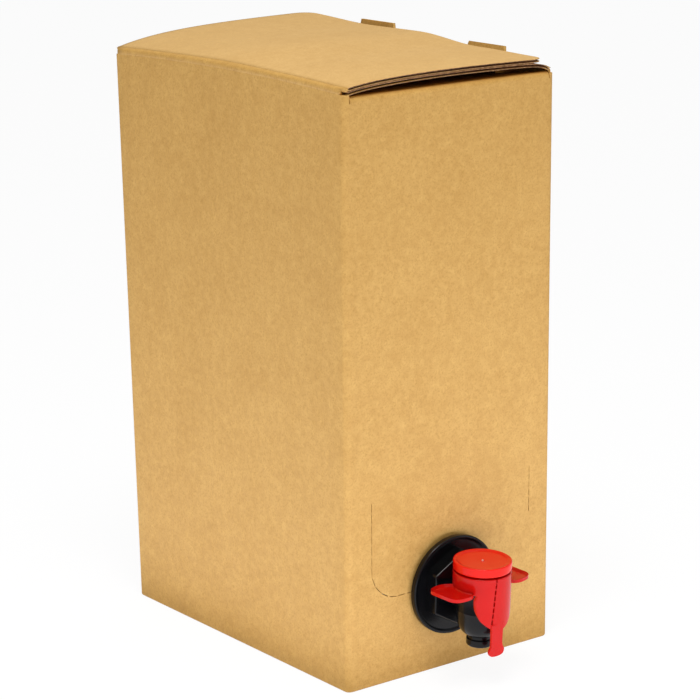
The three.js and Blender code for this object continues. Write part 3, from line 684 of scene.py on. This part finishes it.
# %% Tap hole, tear line and bottom seam
hole = spun([(0, -9), (HOLE_RADIUS, -9), (HOLE_RADIUS, 9), (0, 9)], 72)
moved(turned(hole, math.radians(90), "X"), (TAP_PLACE, FRONT, TAP_HEIGHT))
side = TEAR_TOP - TAP_HEIGHT - TEAR_CORNER
quarter = math.pi / 2 * TEAR_CORNER
flat = TEAR_HALF - TEAR_CORNER - HOLE_RADIUS - 1
cuts = []
for hand, cut, end in ((-1, LONG_CUT, side + quarter + flat), (1, SHORT_CUT, SHORT_RUN)):
    at = 0.0
    while at + cut < end:
        middle = at + cut / 2
        x, z, turn = TEAR_HALF, TEAR_TOP - middle, 0.0
        if middle > side + quarter:
            x = TEAR_HALF - TEAR_CORNER - (middle - side - quarter)
            z, turn = TAP_HEIGHT, math.pi / 2
        elif middle > side:
            turn = (middle - side) / TEAR_CORNER
            x = TEAR_HALF - TEAR_CORNER * (1 - math.cos(turn))
            z = TAP_HEIGHT + TEAR_CORNER * (1 - math.sin(turn))
        blade = turned(block((KERF, 8, cut)), turn * hand, "Y")
        cuts.append(moved(blade, (TEAR_MIDDLE + x * hand, FRONT, z)))
        at += cut + LAND
print("cuts in the tear line:", len(cuts))
seam = block((SEAM_WIDTH, DEPTH - 2 * CORNER_RADIUS, SEAM_HEIGHT))
seam = moved(seam, (RIGHT - SEAM_INSET, 0, 0))
for cutter in (hole, joined(seam, *cuts)):
    carton_bm = combined(carton_bm, cutter, "DIFFERENCE")
print("carton after the cuts:", len(carton_bm.faces), "faces")

# %% [markdown]
# The glued bottom flaps lie on each other as one thick ply. Board has slightly soft edges where it
# is cut, so each sharp edge gets a small bevel, but not the one that the lid's fold joins.

# %% Bottom ply and softened edges
bottom_ply = moved(block((WIDTH - 4, DEPTH - 4, 2 * BOARD)), (0, 0, BOARD * 2 + 0.02))
panels = joined(carton_bm, bottom_ply)
panels = finish_piece(panels, "carton_panels", "carton", ["carton"])
covered(bevelled(panels, 0.18, 1, 50), kraft_panel)
panels.modifiers["rounding"].limit_method = "WEIGHT"
bm = bmesh.new()
bm.from_mesh(panels.data)
weight = bm.edges.layers.float.new("bevel_weight_edge")
marked = 0
for edge in bm.edges:
    at_top = min(v.co.z for v in edge.verts) > PANEL_TOP * MM - 0.0001
    joins_fold = at_top and all(v.co.x < (LEFT + 2) * MM for v in edge.verts)
    if len(edge.link_faces) == 2 and edge.calc_face_angle() > math.radians(50) and not joins_fold:
        edge[weight] = 1.0
        marked += 1
bm.to_mesh(panels.data)
bm.free()
print("edges to round:", marked)


# %% [markdown]
# ## Fluted board that shows its edges
# The lid and the flap below it end in cut edges, where the two liners stand out and the wavy
# medium lies between them. A plain slab would hide that, so each of the two is a real sandwich:
# two thin papers and one wave. The flutes run across the lid, a little out of line with its cut
# edge, and so the edge shows crest and trough by turns.

# %% A sheet of fluted board that follows a height
LINER, MEDIUM, SKEW = 0.24, 0.2, math.radians(1.3)
WAVE_INSET, WAVE_SIDE_INSET = 0.8, 0.5


def sheet_grid(x0, x1, half, columns, rows, corner):
    bm = bmesh.new()
    bmesh.ops.create_grid(bm, x_segments=columns, y_segments=rows, size=0.5)
    bmesh.ops.scale(bm, vec=(x1 - x0, 2 * half, 1), verts=bm.verts)
    bmesh.ops.translate(bm, vec=((x0 + x1) / 2, 0, 0), verts=bm.verts)
    if corner:
        for inset in (corner, 4.2, 2.8, 1.6, 0.8, 0.3):
            sliced(bm, (x1 - inset, 0, 0), (1, 0, 0))
        for vert in bm.verts:
            run = max(0.0, vert.co.x - (x1 - corner))
            limit = half - corner + math.sqrt(max(0.0, corner**2 - run**2))
            vert.co.y = max(-limit, min(limit, vert.co.y))
    return bm


def slotted(bm, slots):
    """Takes the lock slots out of a sheet: each has a start along X, a centre and a half width."""
    for start, centre, half in slots:
        for place, normal in (
            ((start, 0, 0), (1, 0, 0)),
            ((0, centre - half, 0), (0, 1, 0)),
            ((0, centre + half, 0), (0, 1, 0)),
        ):
            sliced(bm, place, normal)
        inside = []
        for face in bm.faces:
            middle = face.calc_center_median()
            if middle.x > start and abs(middle.y - centre) < half:
                inside.append(face)
        bmesh.ops.delete(bm, geom=inside, context="FACES")


def fluted_sheet(name, body, top, x0, x1, half, corner, liner_material, nodes=(), slots=()):
    """Upper liner, wave and lower liner, from x0 to x1, under the height top(x, y)."""
    for label, drop in (("upper", LINER / 2), ("lower", BOARD - LINER / 2)):
        bm = sheet_grid(x0, x1, half, 40, 60, corner)
        slotted(bm, slots)
        for vert in bm.verts:
            vert.co.z = top(vert.co.x, vert.co.y) - drop
            vert.co = leant(vert.co)
        paper = finish_piece(bm, f"{name}_{label}_liner", body, nodes, sharp=60)
        covered(thickened(paper, LINER, 0.0), liner_material, kraft_cut_fibre_and_shade)
        paper.modifiers["board"].material_offset_rim = 1
    bm = sheet_grid(x0, x1 - WAVE_INSET, half - WAVE_SIDE_INSET, 34, 560, corner)
    slotted(bm, slots)
    swing = (BOARD - 2 * LINER - MEDIUM) / 2
    for vert in bm.verts:
        phase = 2 * math.pi * (vert.co.y + vert.co.x * math.tan(SKEW)) / FLUTE
        vert.co.z = top(vert.co.x, vert.co.y) - BOARD / 2 + swing * math.sin(phase)
        vert.co = leant(vert.co)
    wave = finish_piece(bm, f"{name}_flutes", body, (), sharp=80)
    covered(thickened(wave, MEDIUM, 0.0), kraft_medium_painted_shade)


fluted_sheet(
    "inner_flap", "carton", inner_top,
    LEFT + BOARD + 1, RIGHT - CREASE_RADIUS, BACK - LID_INSET, 0, kraft_panel,
    slots=[(RIGHT - height, centre, LOCK_WIDTH / 2) for centre, height in LOCKS.values()],
)
fluted_sheet(
    "lid", "lid", lid_top,
    LEFT + 2.6, LID_EDGE, BACK - LID_INSET, 8.0, kraft_lid, ["lid"],
)

# %% [markdown]
# The lid's crease is a soft fold over the left panel. The board bends there round a small radius,
# and the lid turns about it. The fold stays on the panel, so that it doesn't stretch.

# %% Fold between the left panel and the lid
bm = bmesh.new()
FOLD_REACH, FOLD_STEPS = 2.7, 34
half = BACK - CORNER_RADIUS
across = [(LEFT, PANEL_TOP), (LEFT, LEFT_CREASE), (LEFT + FOLD_REACH, LEFT_CREASE)]
across = rounded(across, CREASE_RADIUS, False, 8)
_, edges = chain(bm, [(x, -half, z) for x, z in across])
for _ in range(FOLD_STEPS):
    _, edges = pulled(bm, edges, (0, 2 * half / FOLD_STEPS, 0))
for vert in bm.verts:
    x, y, z = vert.co
    level = z + lid_top(LEFT, y) - LEFT_CREASE
    if x > LEFT + 0.01:
        level += (lid_top(x, y) - lid_top(LEFT, y)) * smooth((x - LEFT) / FOLD_REACH)
    reach = math.copysign(BACK - LID_INSET - half, y)
    vert.co.y = y + reach * smooth((x - LEFT) / 1.6) * smooth((abs(y) - half + 4) / 4)
    vert.co.z = level
    vert.co = leant(vert.co)
bmesh.ops.recalc_face_normals(bm, faces=bm.faces)
fold = finish_piece(bm, "lid_fold", "carton", ["carton"])
inwards = -1.0 if fold.data.polygons[0].normal.x < 0 else 1.0
covered(thickened(fold, BOARD, inwards), kraft_panel)

# %% [markdown]
# Two tabs hang from the lid's free edge and tuck into slots behind the standing strips. They are
# cut in one with the lid.

# %% Tuck tabs
TAB_LENGTH, TAB_LEAN = 16.0, math.radians(6)
tabs = []
for centre in (LOCKS["front"][0], LOCKS["rear"][0]):
    half = LOCK_WIDTH / 2 - 1
    outline = [(-half, 0), (half, 0), (half - 0.6, -TAB_LENGTH), (-half + 0.6, -TAB_LENGTH)]
    outline = rounded(outline, [0, 0, 5, 5])
    tab = turned(slab(outline, "X", -BOARD, 0), TAB_LEAN, "Y")
    moved(tab, (LID_EDGE, centre, lid_top(LID_EDGE, centre) - 0.1))
    for vert in tab.verts:
        vert.co = leant(vert.co)
    tabs.append(tab)
tuck_tabs = finish_piece(joined(*tabs), "tuck_tabs", "lid", ["lid"])
covered(bevelled(tuck_tabs, 0.3, 2, 40), kraft_lid)

# %% [markdown]
# ## The tap
# The tap is the part that takes skill: a black body with flange, assembly hexagon, chamber and
# beaded nozzle, and on it a red cap with two dished wings, a thin apron and a strip that tears off
# along a line of cuts. Round forms are spun from profiles, flat ones are extruded from outlines,
# and every edge is rounded a little, as moulded edges are.

# %% Places of the tap's forms
TAP_LEAN = 3.5
FLANGE_RADIUS, FLANGE_THICKNESS = 24.0, 2.2
tap_tilt = math.radians(TAP_LEAN) - math.atan(LEAN_OUT / HEIGHT)
FLANGE_BACK = FLANGE_RADIUS * math.tan(tap_tilt) + 0.3
FLANGE_FACE = FLANGE_BACK + FLANGE_THICKNESS
CHAMBER = FLANGE_FACE + 19.7
tap_front = leant(Vector((TAP_PLACE, FRONT, TAP_HEIGHT))) * MM
TAP = Matrix.Translation(tap_front) @ Matrix.Rotation(math.radians(TAP_LEAN), 4, "X")
OUTWARDS = TAP @ Matrix.Rotation(math.radians(90), 4, "X")
AT_CHAMBER = TAP @ Matrix.Translation((0, -CHAMBER * MM, 0))
print("chamber axis in front of the panel:", round(CHAMBER, 1), "mm")

# %% Flange, tail, hexagon and neck of the tap body
rim_profile = rounded(
    [
        (0, FLANGE_BACK),
        (FLANGE_RADIUS, FLANGE_BACK),
        (FLANGE_RADIUS, FLANGE_FACE + 0.75),
        (FLANGE_RADIUS - 1.3, FLANGE_FACE + 0.75),
        (FLANGE_RADIUS - 2.0, FLANGE_FACE),
        (0, FLANGE_FACE - 0.25),
    ],
    [0, 0.5, 0.7, 0.6, 0.8, 0],
    closed=False,
)
flange = spun(rim_profile, 128)
flange = finish_piece(flange, "tap_flange", "tap", ["tap_body"], 40, OUTWARDS)
covered(flange, black_plastic)

HEX_FLATS, HEX_DEPTH = 33.0, 6.2
corner_reach = HEX_FLATS / math.sqrt(3)
hexagon = bmesh.new()
bmesh.ops.create_circle(hexagon, cap_ends=True, segments=6, radius=corner_reach)
raised = verts_of(bmesh.ops.extrude_face_region(hexagon, geom=hexagon.faces[:])["geom"])
bmesh.ops.translate(hexagon, vec=(0, 0, HEX_DEPTH + 0.4), verts=raised)
bmesh.ops.scale(hexagon, vec=(0.965, 0.965, 1), verts=raised)
hexagon = moved(hexagon, (0, 0, FLANGE_FACE - 0.4))
hexagon = finish_piece(hexagon, "assembly_hexagon", "tap", (), 30, OUTWARDS)
covered(bevelled(hexagon, 0.5, 3, 25), black_plastic)

low, high = FLANGE_FACE + 2, CHAMBER - 6.5
neck = spun(rounded([(9, low), (9, high), (6.5, high), (6.5, low)], 0.2), 64)
neck = finish_piece(neck, "tap_neck", "tap", (), 40, OUTWARDS)
covered(neck, black_plastic)
low, high = -FLANGE_BACK - 9, FLANGE_BACK + 0.4
tail = spun(rounded([(9.5, low), (12.3, low), (12.3, high), (9.5, high)], 0.5), 64)
tail = finish_piece(tail, "tap_tail", "tap", (), 40, OUTWARDS)
covered(tail, black_plastic)

# %% Chamber, bowl and nozzle
bowl = []
for step in range(13):
    t = step / 12
    radius = 12.0 * (1 - t) ** 2 + 11.2 * 2 * t * (1 - t) + 5.9 * t * t
    level = -5.0 * (1 - t) ** 2 + -16.0 * 2 * t * (1 - t) + -17.6 * t * t
    bowl.append((radius, level))
outer = [(10.0, 9.5), (12.0, 9.5), (12.0, -4.4), (12.15, -4.6)] + bowl
mouth = rounded(
    [(5.6, -17.9), (5.6, -19.2), (6.3, -19.5), (6.3, -22.6), (5.2, -23.1), (4.6, -22.4)],
    [0.1, 0.4, 0.3, 0.7, 0.3, 0.3],
    closed=False,
)
inner = [(4.6, -16.0), (2.8, -16.0), (2.8, -14.0), (7.6, -12.0), (10.0, -5.0), (10.0, 9.5)]
chamber = spun(outer + mouth + inner, 112)
chamber = finish_piece(chamber, "tap_chamber", "tap", (), 38, AT_CHAMBER)
covered(chamber, black_plastic)

# %% [markdown]
# The red cap is one moulding. Its skirt is spun. Each wing is a flat outline with a tray pressed
# into it: the top face is inset and pushed down, which leaves the raised rim that the fingers
# feel. The apron is a piece of tube, limited to its outline.

# %% Skirt and wings of the grip cap
SKIRT_RADIUS, SKIRT_INNER, SKIRT_TOP = 13.6, 12.7, 13.8
WING_TOP, WING_FLOOR, WING_UNDER = 7.5, 6.4, 5.9
WING_TURN = math.radians(6.5)
wing_edge = rounded(
    [(11.4, -6.2), (15.5, -9.3), (25.3, -8.0), (25.3, 9.6), (17.5, 11.0), (11.4, 8.2)],
    [0, 3.0, 7.0, 9.0, 4.0, 0],
    closed=False,
    steps=10,
)
WING_ROOT = 13.0
angles = [math.radians(a) for a in range(34, -30, -4)]
arc = [(WING_ROOT * math.cos(a), WING_ROOT * math.sin(a)) for a in angles]
wings = []
for hand in (1, -1):
    wing = slab(wing_edge[1:-1] + arc, "Z", WING_UNDER, WING_TOP)
    top = [f for f in wing.faces if f.normal.z > 0.9]
    bmesh.ops.inset_region(wing, faces=top, thickness=1.0, use_even_offset=True)
    top = [f for f in wing.faces if f.normal.z > 0.9 and len(f.verts) > 8]
    tray = list({v for f in top for v in f.verts})
    bmesh.ops.translate(wing, vec=(0, 0, WING_FLOOR - WING_TOP), verts=tray)
    if hand == -1:
        bmesh.ops.scale(wing, vec=(-1, 1, 1), verts=wing.verts)
        bmesh.ops.reverse_faces(wing, faces=wing.faces)
    wings.append(turned(wing, WING_TURN, "Z"))
wings = joined(*wings)
wings = finish_piece(wings, "cap_wings", "tap", ["grip_cap"], 30, AT_CHAMBER)
covered(bevelled(wings, 0.34, 4, 25), red_plastic)

# %% Apron below the skirt
STRIP_CENTRE, STRIP_WIDTH, STRIP_END, STRIP_KNOB = -1.0, 6.4, -24.2, 9.0
APRON_BOTTOM = -11.3
wall = spun(
    rounded(
        [
            (SKIRT_INNER, -13),
            (SKIRT_RADIUS, -13),
            (SKIRT_RADIUS, SKIRT_TOP),
            (10.2, SKIRT_TOP),
            (10.2, 12.4),
            (SKIRT_INNER, 12.4),
            (SKIRT_INNER, -13),
        ],
        [0, 0, 0.6, 0.2, 0.2, 0.2, 0],
        closed=False,
    ),
    128,
)
apron_side = [
    (9.7, 9.0), (9.7, WING_UNDER + 1.2), (10.55, 3.8), (10.55, 0.7), (10.2, -2.1), (9.4, -4.5),
    (8.4, -6.8), (6.9, -8.5), (5.2, -9.9), (4.0, -10.6), (2.6, -11.2),
]
outline = rounded(apron_side, 1.2, closed=False, steps=4)
outline = outline + [(-x, z) for x, z in reversed(outline)]
waste = moved(block((40, 40, 20)), (0, 0, WING_UNDER - 10))
waste = combined(waste, slab(outline, "Y", -30, 0), "DIFFERENCE")
apron = combined(wall, waste, "DIFFERENCE")
print("apron:", len(apron.faces), "faces")

# %% [markdown]
# The strip to pull is as wide as a fingertip and ends in a knob. Beside it runs a line of short
# cuts from the apron's edge up to the skirt's top, which lets the strip tear the skirt open.

# %% Tear strip and the cuts beside it
half, knob = STRIP_WIDTH / 2, STRIP_KNOB / 2
strip_outline = rounded(
    [
        (-half - 0.3, APRON_BOTTOM + 3),
        (-half, STRIP_END + 5.2),
        (-knob - 0.3, STRIP_END + 2.8),
        (-knob + 0.8, STRIP_END + 0.4),
        (0, STRIP_END - 0.2),
        (knob - 0.8, STRIP_END + 0.4),
        (knob + 0.3, STRIP_END + 2.8),
        (half, STRIP_END + 5.2),
        (half + 0.3, APRON_BOTTOM + 3),
    ],
    [0, 2, 1.3, 1.8, 4.0, 1.8, 1.3, 2, 0],
)
strip = slab(strip_outline, "Y", -SKIRT_RADIUS + 0.05, -SKIRT_RADIUS + 1.4)
strip = moved(strip, (STRIP_CENTRE, 0, 0))
strip = finish_piece(strip, "tear_strip", "tap", ["grip_cap"], 30, AT_CHAMBER)
covered(bevelled(strip, 0.4, 3, 25), red_plastic)
SLIT_WIDTH, SLIT_LENGTH, SLIT_PITCH = 0.75, 2.25, 2.9
SLIT_RUN, SLIT_LEAN = 2.0, math.radians(4.6)
blades = []
low = APRON_BOTTOM + 0.2
while low < SKIRT_TOP:
    level = low + 1.2
    share = (level - APRON_BOTTOM) / (SKIRT_TOP - APRON_BOTTOM)
    place = STRIP_CENTRE - half - 0.1 + SLIT_RUN * share
    blade = turned(block((SLIT_WIDTH, 8, SLIT_LENGTH)), SLIT_LEAN, "Y")
    blades.append(moved(blade, (place, -SKIRT_RADIUS, level)))
    low += SLIT_PITCH
print("cuts beside the strip:", len(blades))
apron = combined(apron, joined(*blades), "DIFFERENCE")
apron = finish_piece(apron, "cap_apron", "tap", ["grip_cap"], 40, AT_CHAMBER)
covered(bevelled(apron, 0.16, 2, 45), red_plastic)

# %% [markdown]
# The thumb pad is spun too. Its face is dished, and the gate, where the plastic flowed into the
# mould, leaves a small nub in the middle with a broken-off end. That end is painted pale, as a
# painted highlight for the glint on it.

# %% Push button with its dished pad and gate nub
PAD_TOP = 19.0
button = spun(
    rounded(
        [
            (0, 13.0),
            (6, 13.0),
            (6, 14.7),
            (SKIRT_RADIUS, 14.7),
            (SKIRT_RADIUS, PAD_TOP),
            (12.3, PAD_TOP),
            (11.2, PAD_TOP - 0.75),
            (2.2, PAD_TOP - 0.95),
            (1.4, PAD_TOP - 0.95),
            (1.0, PAD_TOP - 1.15),
            (0.7, PAD_TOP - 0.8),
            (0, PAD_TOP - 0.75),
        ],
        [0, 0.1, 0.1, 0.7, 1.0, 0.7, 0.9, 0.2, 0.2, 0.2, 0.3, 0],
        closed=False,
    ),
    128,
)
button = finish_piece(button, "button_pad", "button", ["push_button"], 40, AT_CHAMBER)
covered(button, red_pad)
# The nub's pale end is a painted highlight.
glint_nub = [(0, 1.0), (0.42, 1.0), (0.42, 0.55), (0.25, 0.4), (0, 0.4)]
glint_nub = spun([(radius, PAD_TOP - drop) for radius, drop in glint_nub], 24)
glint_nub = finish_piece(glint_nub, "gate_nub_painted_glint", "button", (), 40, AT_CHAMBER)
covered(glint_nub, gate_nub_painted_glint)

# %% [markdown]
# ## The bag
# The bag is two films welded all round, filled and pushed into the carton. It leans on the walls,
# its top sags and creases towards the corners, and its end weld stands up as a thin fin. It can't
# be seen with the flaps closed, but it is the pack's main piece, so it gets a real shape: a box
# that is subdivided, rounded, sagged and creased.

# %% Film bag with its sagging top
BAG_HALF_X, BAG_HALF_Y, BAG_LOW, BAG_HIGH, BAG_ROUND = 58.0, 84.5, 5.2, 243.0, 20.0
SAG, CREASING = 7.0, 5.0
bag = bmesh.new()
bmesh.ops.create_cube(bag, size=2.0)
bmesh.ops.subdivide_edges(bag, edges=bag.edges[:], cuts=31, use_grid_fill=True)
middle = (BAG_LOW + BAG_HIGH) / 2
half_z = (BAG_HIGH - BAG_LOW) / 2
for vert in bag.verts:
    spread = Vector([math.sin(c * math.pi / 2) for c in vert.co])
    point = Vector((spread.x * BAG_HALF_X, spread.y * BAG_HALF_Y, spread.z * half_z))
    limits = [limit - BAG_ROUND for limit in (BAG_HALF_X, BAG_HALF_Y, half_z)]
    core = Vector([max(-limit, min(limit, c)) for c, limit in zip(point, limits)])
    outwards = point - core
    if outwards.length > 0.001:
        point = core + outwards.normalized() * BAG_ROUND
    top_share = max(0.0, point.z / half_z) ** 6
    hollow = (1 - (point.x / BAG_HALF_X) ** 2) * (1 - (point.y / BAG_HALF_Y) ** 2)
    fold = ripple.noise(Vector((point.x / 21, point.y / 21, point.z / 55)))
    crease = abs(ripple.noise(Vector((point.x / 30 + 7, point.y / 30, point.z / 30))))
    point.z -= top_share * (SAG * max(hollow, 0) + CREASING * crease + 1.5)
    inward = 1 - (0.006 + 0.010 * top_share) * (1 + fold)
    vert.co = leant(Vector((point.x * inward, point.y * inward, point.z + middle)))
bag = finish_piece(bag, "film_bag", "carton", ["bag"], 60)
covered(bag, film)

# %% Fin of the end weld
fin = bmesh.new()
_, edges = chain(fin, [(-50 + 2.5 * i, 0, 0) for i in range(41)])
for _ in range(5):
    _, edges = pulled(fin, edges, (0, 0.9, 1.8))
for vert in fin.verts:
    across = vert.co.x / 52
    base = BAG_HIGH - 8.5 + 6.5 * across**2
    wave = ripple.noise(Vector((vert.co.x / 14, 0, vert.co.z / 9)))
    vert.co.y += wave * 1.6 * vert.co.z / 9
    vert.co.z += base - 3 * abs(ripple.noise(Vector((vert.co.x / 30 + 7, 0, 3.6))))
fin = finish_piece(fin, "end_weld_fin", "carton", ["bag"], 60)
covered(thickened(fin, 0.3, 0.0), film)

# %% [markdown]
# ## Studio
# The photo's light is very soft and comes from all around. The floor is pale. Camera rays see it
# and the surroundings as white, apart from the soft shadow. Glossy rays see half of its glow.

# %% Floor
GLOW, SEEN_SHARE, MIRRORED_SHARE = 1.03, 0.88, 0.5
floor_bm = bmesh.new()
bmesh.ops.create_grid(floor_bm, x_segments=1, y_segments=1, size=6.0)
floor_mesh = bpy.data.meshes.new("floor")
floor_bm.to_mesh(floor_mesh)
floor_bm.free()
floor = bpy.data.objects.new("floor", floor_mesh)
bpy.context.scene.collection.objects.link(floor)
floor_material, tree, shader = new_material("pale_floor")
shader.inputs["Base Color"].default_value = (0.86, 0.86, 0.86, 1.0)
shader.inputs["Roughness"].default_value = 0.8
glow = add(tree, "ShaderNodeEmission", Strength=GLOW)
mixer = add(tree, "ShaderNodeMixShader")
seen = add(tree, "ShaderNodeLightPath").outputs["Is Camera Ray"]
mirrored = add(tree, "ShaderNodeLightPath").outputs["Is Glossy Ray"]
white_share = maths(tree, "MULTIPLY", seen, SEEN_SHARE)
white_share = maths(tree, "MULTIPLY_ADD", mirrored, MIRRORED_SHARE, white_share)
tree.links.new(white_share, mixer.inputs[0])
tree.links.new(shader.outputs[0], mixer.inputs[1])
tree.links.new(glow.outputs[0], mixer.inputs[2])
output = next(node for node in tree.nodes if node.type == "OUTPUT_MATERIAL")
tree.links.new(mixer.outputs[0], output.inputs["Surface"])
floor_mesh.materials.append(floor_material)
print("floor:", floor.name)

# %% World that is brighter overhead
WORLD_LOW, WORLD_HIGH = 0.22, 0.66
world = bpy.data.worlds.new("studio")
bpy.context.scene.world = world
world.use_nodes = True
tree = world.node_tree
background = next(node for node in tree.nodes if node.type == "BACKGROUND")
seen = add(tree, "ShaderNodeLightPath").outputs["Is Camera Ray"]
background.inputs["Color"].default_value = (1.0, 1.0, 1.0, 1.0)
direction = add(tree, "ShaderNodeSeparateXYZ")
tree.links.new(add(tree, "ShaderNodeTexCoord").outputs["Generated"], direction.inputs[0])
sky = remap(tree, direction.outputs["Z"], 0.0, 0.9, WORLD_LOW, WORLD_HIGH)
sky = maths(tree, "MULTIPLY", sky, maths(tree, "SUBTRACT", 1.0, seen))
tree.links.new(maths(tree, "ADD", sky, seen), background.inputs["Strength"])
print("world strength from", WORLD_LOW, "at the horizon to", WORLD_HIGH, "overhead")

# %% [markdown]
# One softbox hangs overhead. Wide low panels and two strips stand by the floor in front and at the
# left, because the carton's panels are palest near the table. They are slightly cool, and neither
# the camera nor a glossy face sees them.

# %% Lamps
LOW_LIGHT = (0.88, 0.98, 1.5)


def softbox(name, place, target, size, watts):
    lamp = bpy.data.lights.new(name, "AREA")
    lamp.shape = "RECTANGLE"
    lamp.size, lamp.size_y = size
    lamp.energy = watts
    holder = bpy.data.objects.new(name, lamp)
    direction = Vector(target) - Vector(place)
    aim = direction.to_track_quat("-Z", "Y").to_matrix().to_4x4()
    holder.matrix_world = Matrix.Translation(place) @ aim
    bpy.context.scene.collection.objects.link(holder)
    return holder


softbox("overhead", (-0.3, -0.4, 1.25), (-0.05, -0.12, 0), (0.5, 0.5), 9.0)
for name, place, target, size, watts in (
    ("table_front", (0.02, -0.26, 0.003), (0.02, -0.26, 1.0), (0.6, 0.3), 0.62),
    ("table_left", (-0.23, 0.0, 0.003), (-0.23, 0.0, 1.0), (0.3, 0.6), 0.62),
    ("strip_front", (0.05, -0.40, 0.02), (0.05, 0.0, 0.02), (0.7, 0.03), 0.60),
    ("strip_left", (-0.38, 0.0, 0.02), (0.0, 0.0, 0.02), (0.7, 0.03), 0.36),
):
    panel = softbox(name, place, target, size, watts)
    panel.visible_camera = False
    panel.visible_glossy = False
    panel.data.color = LOW_LIGHT
bpy.context.scene.view_settings.view_transform = "Standard"
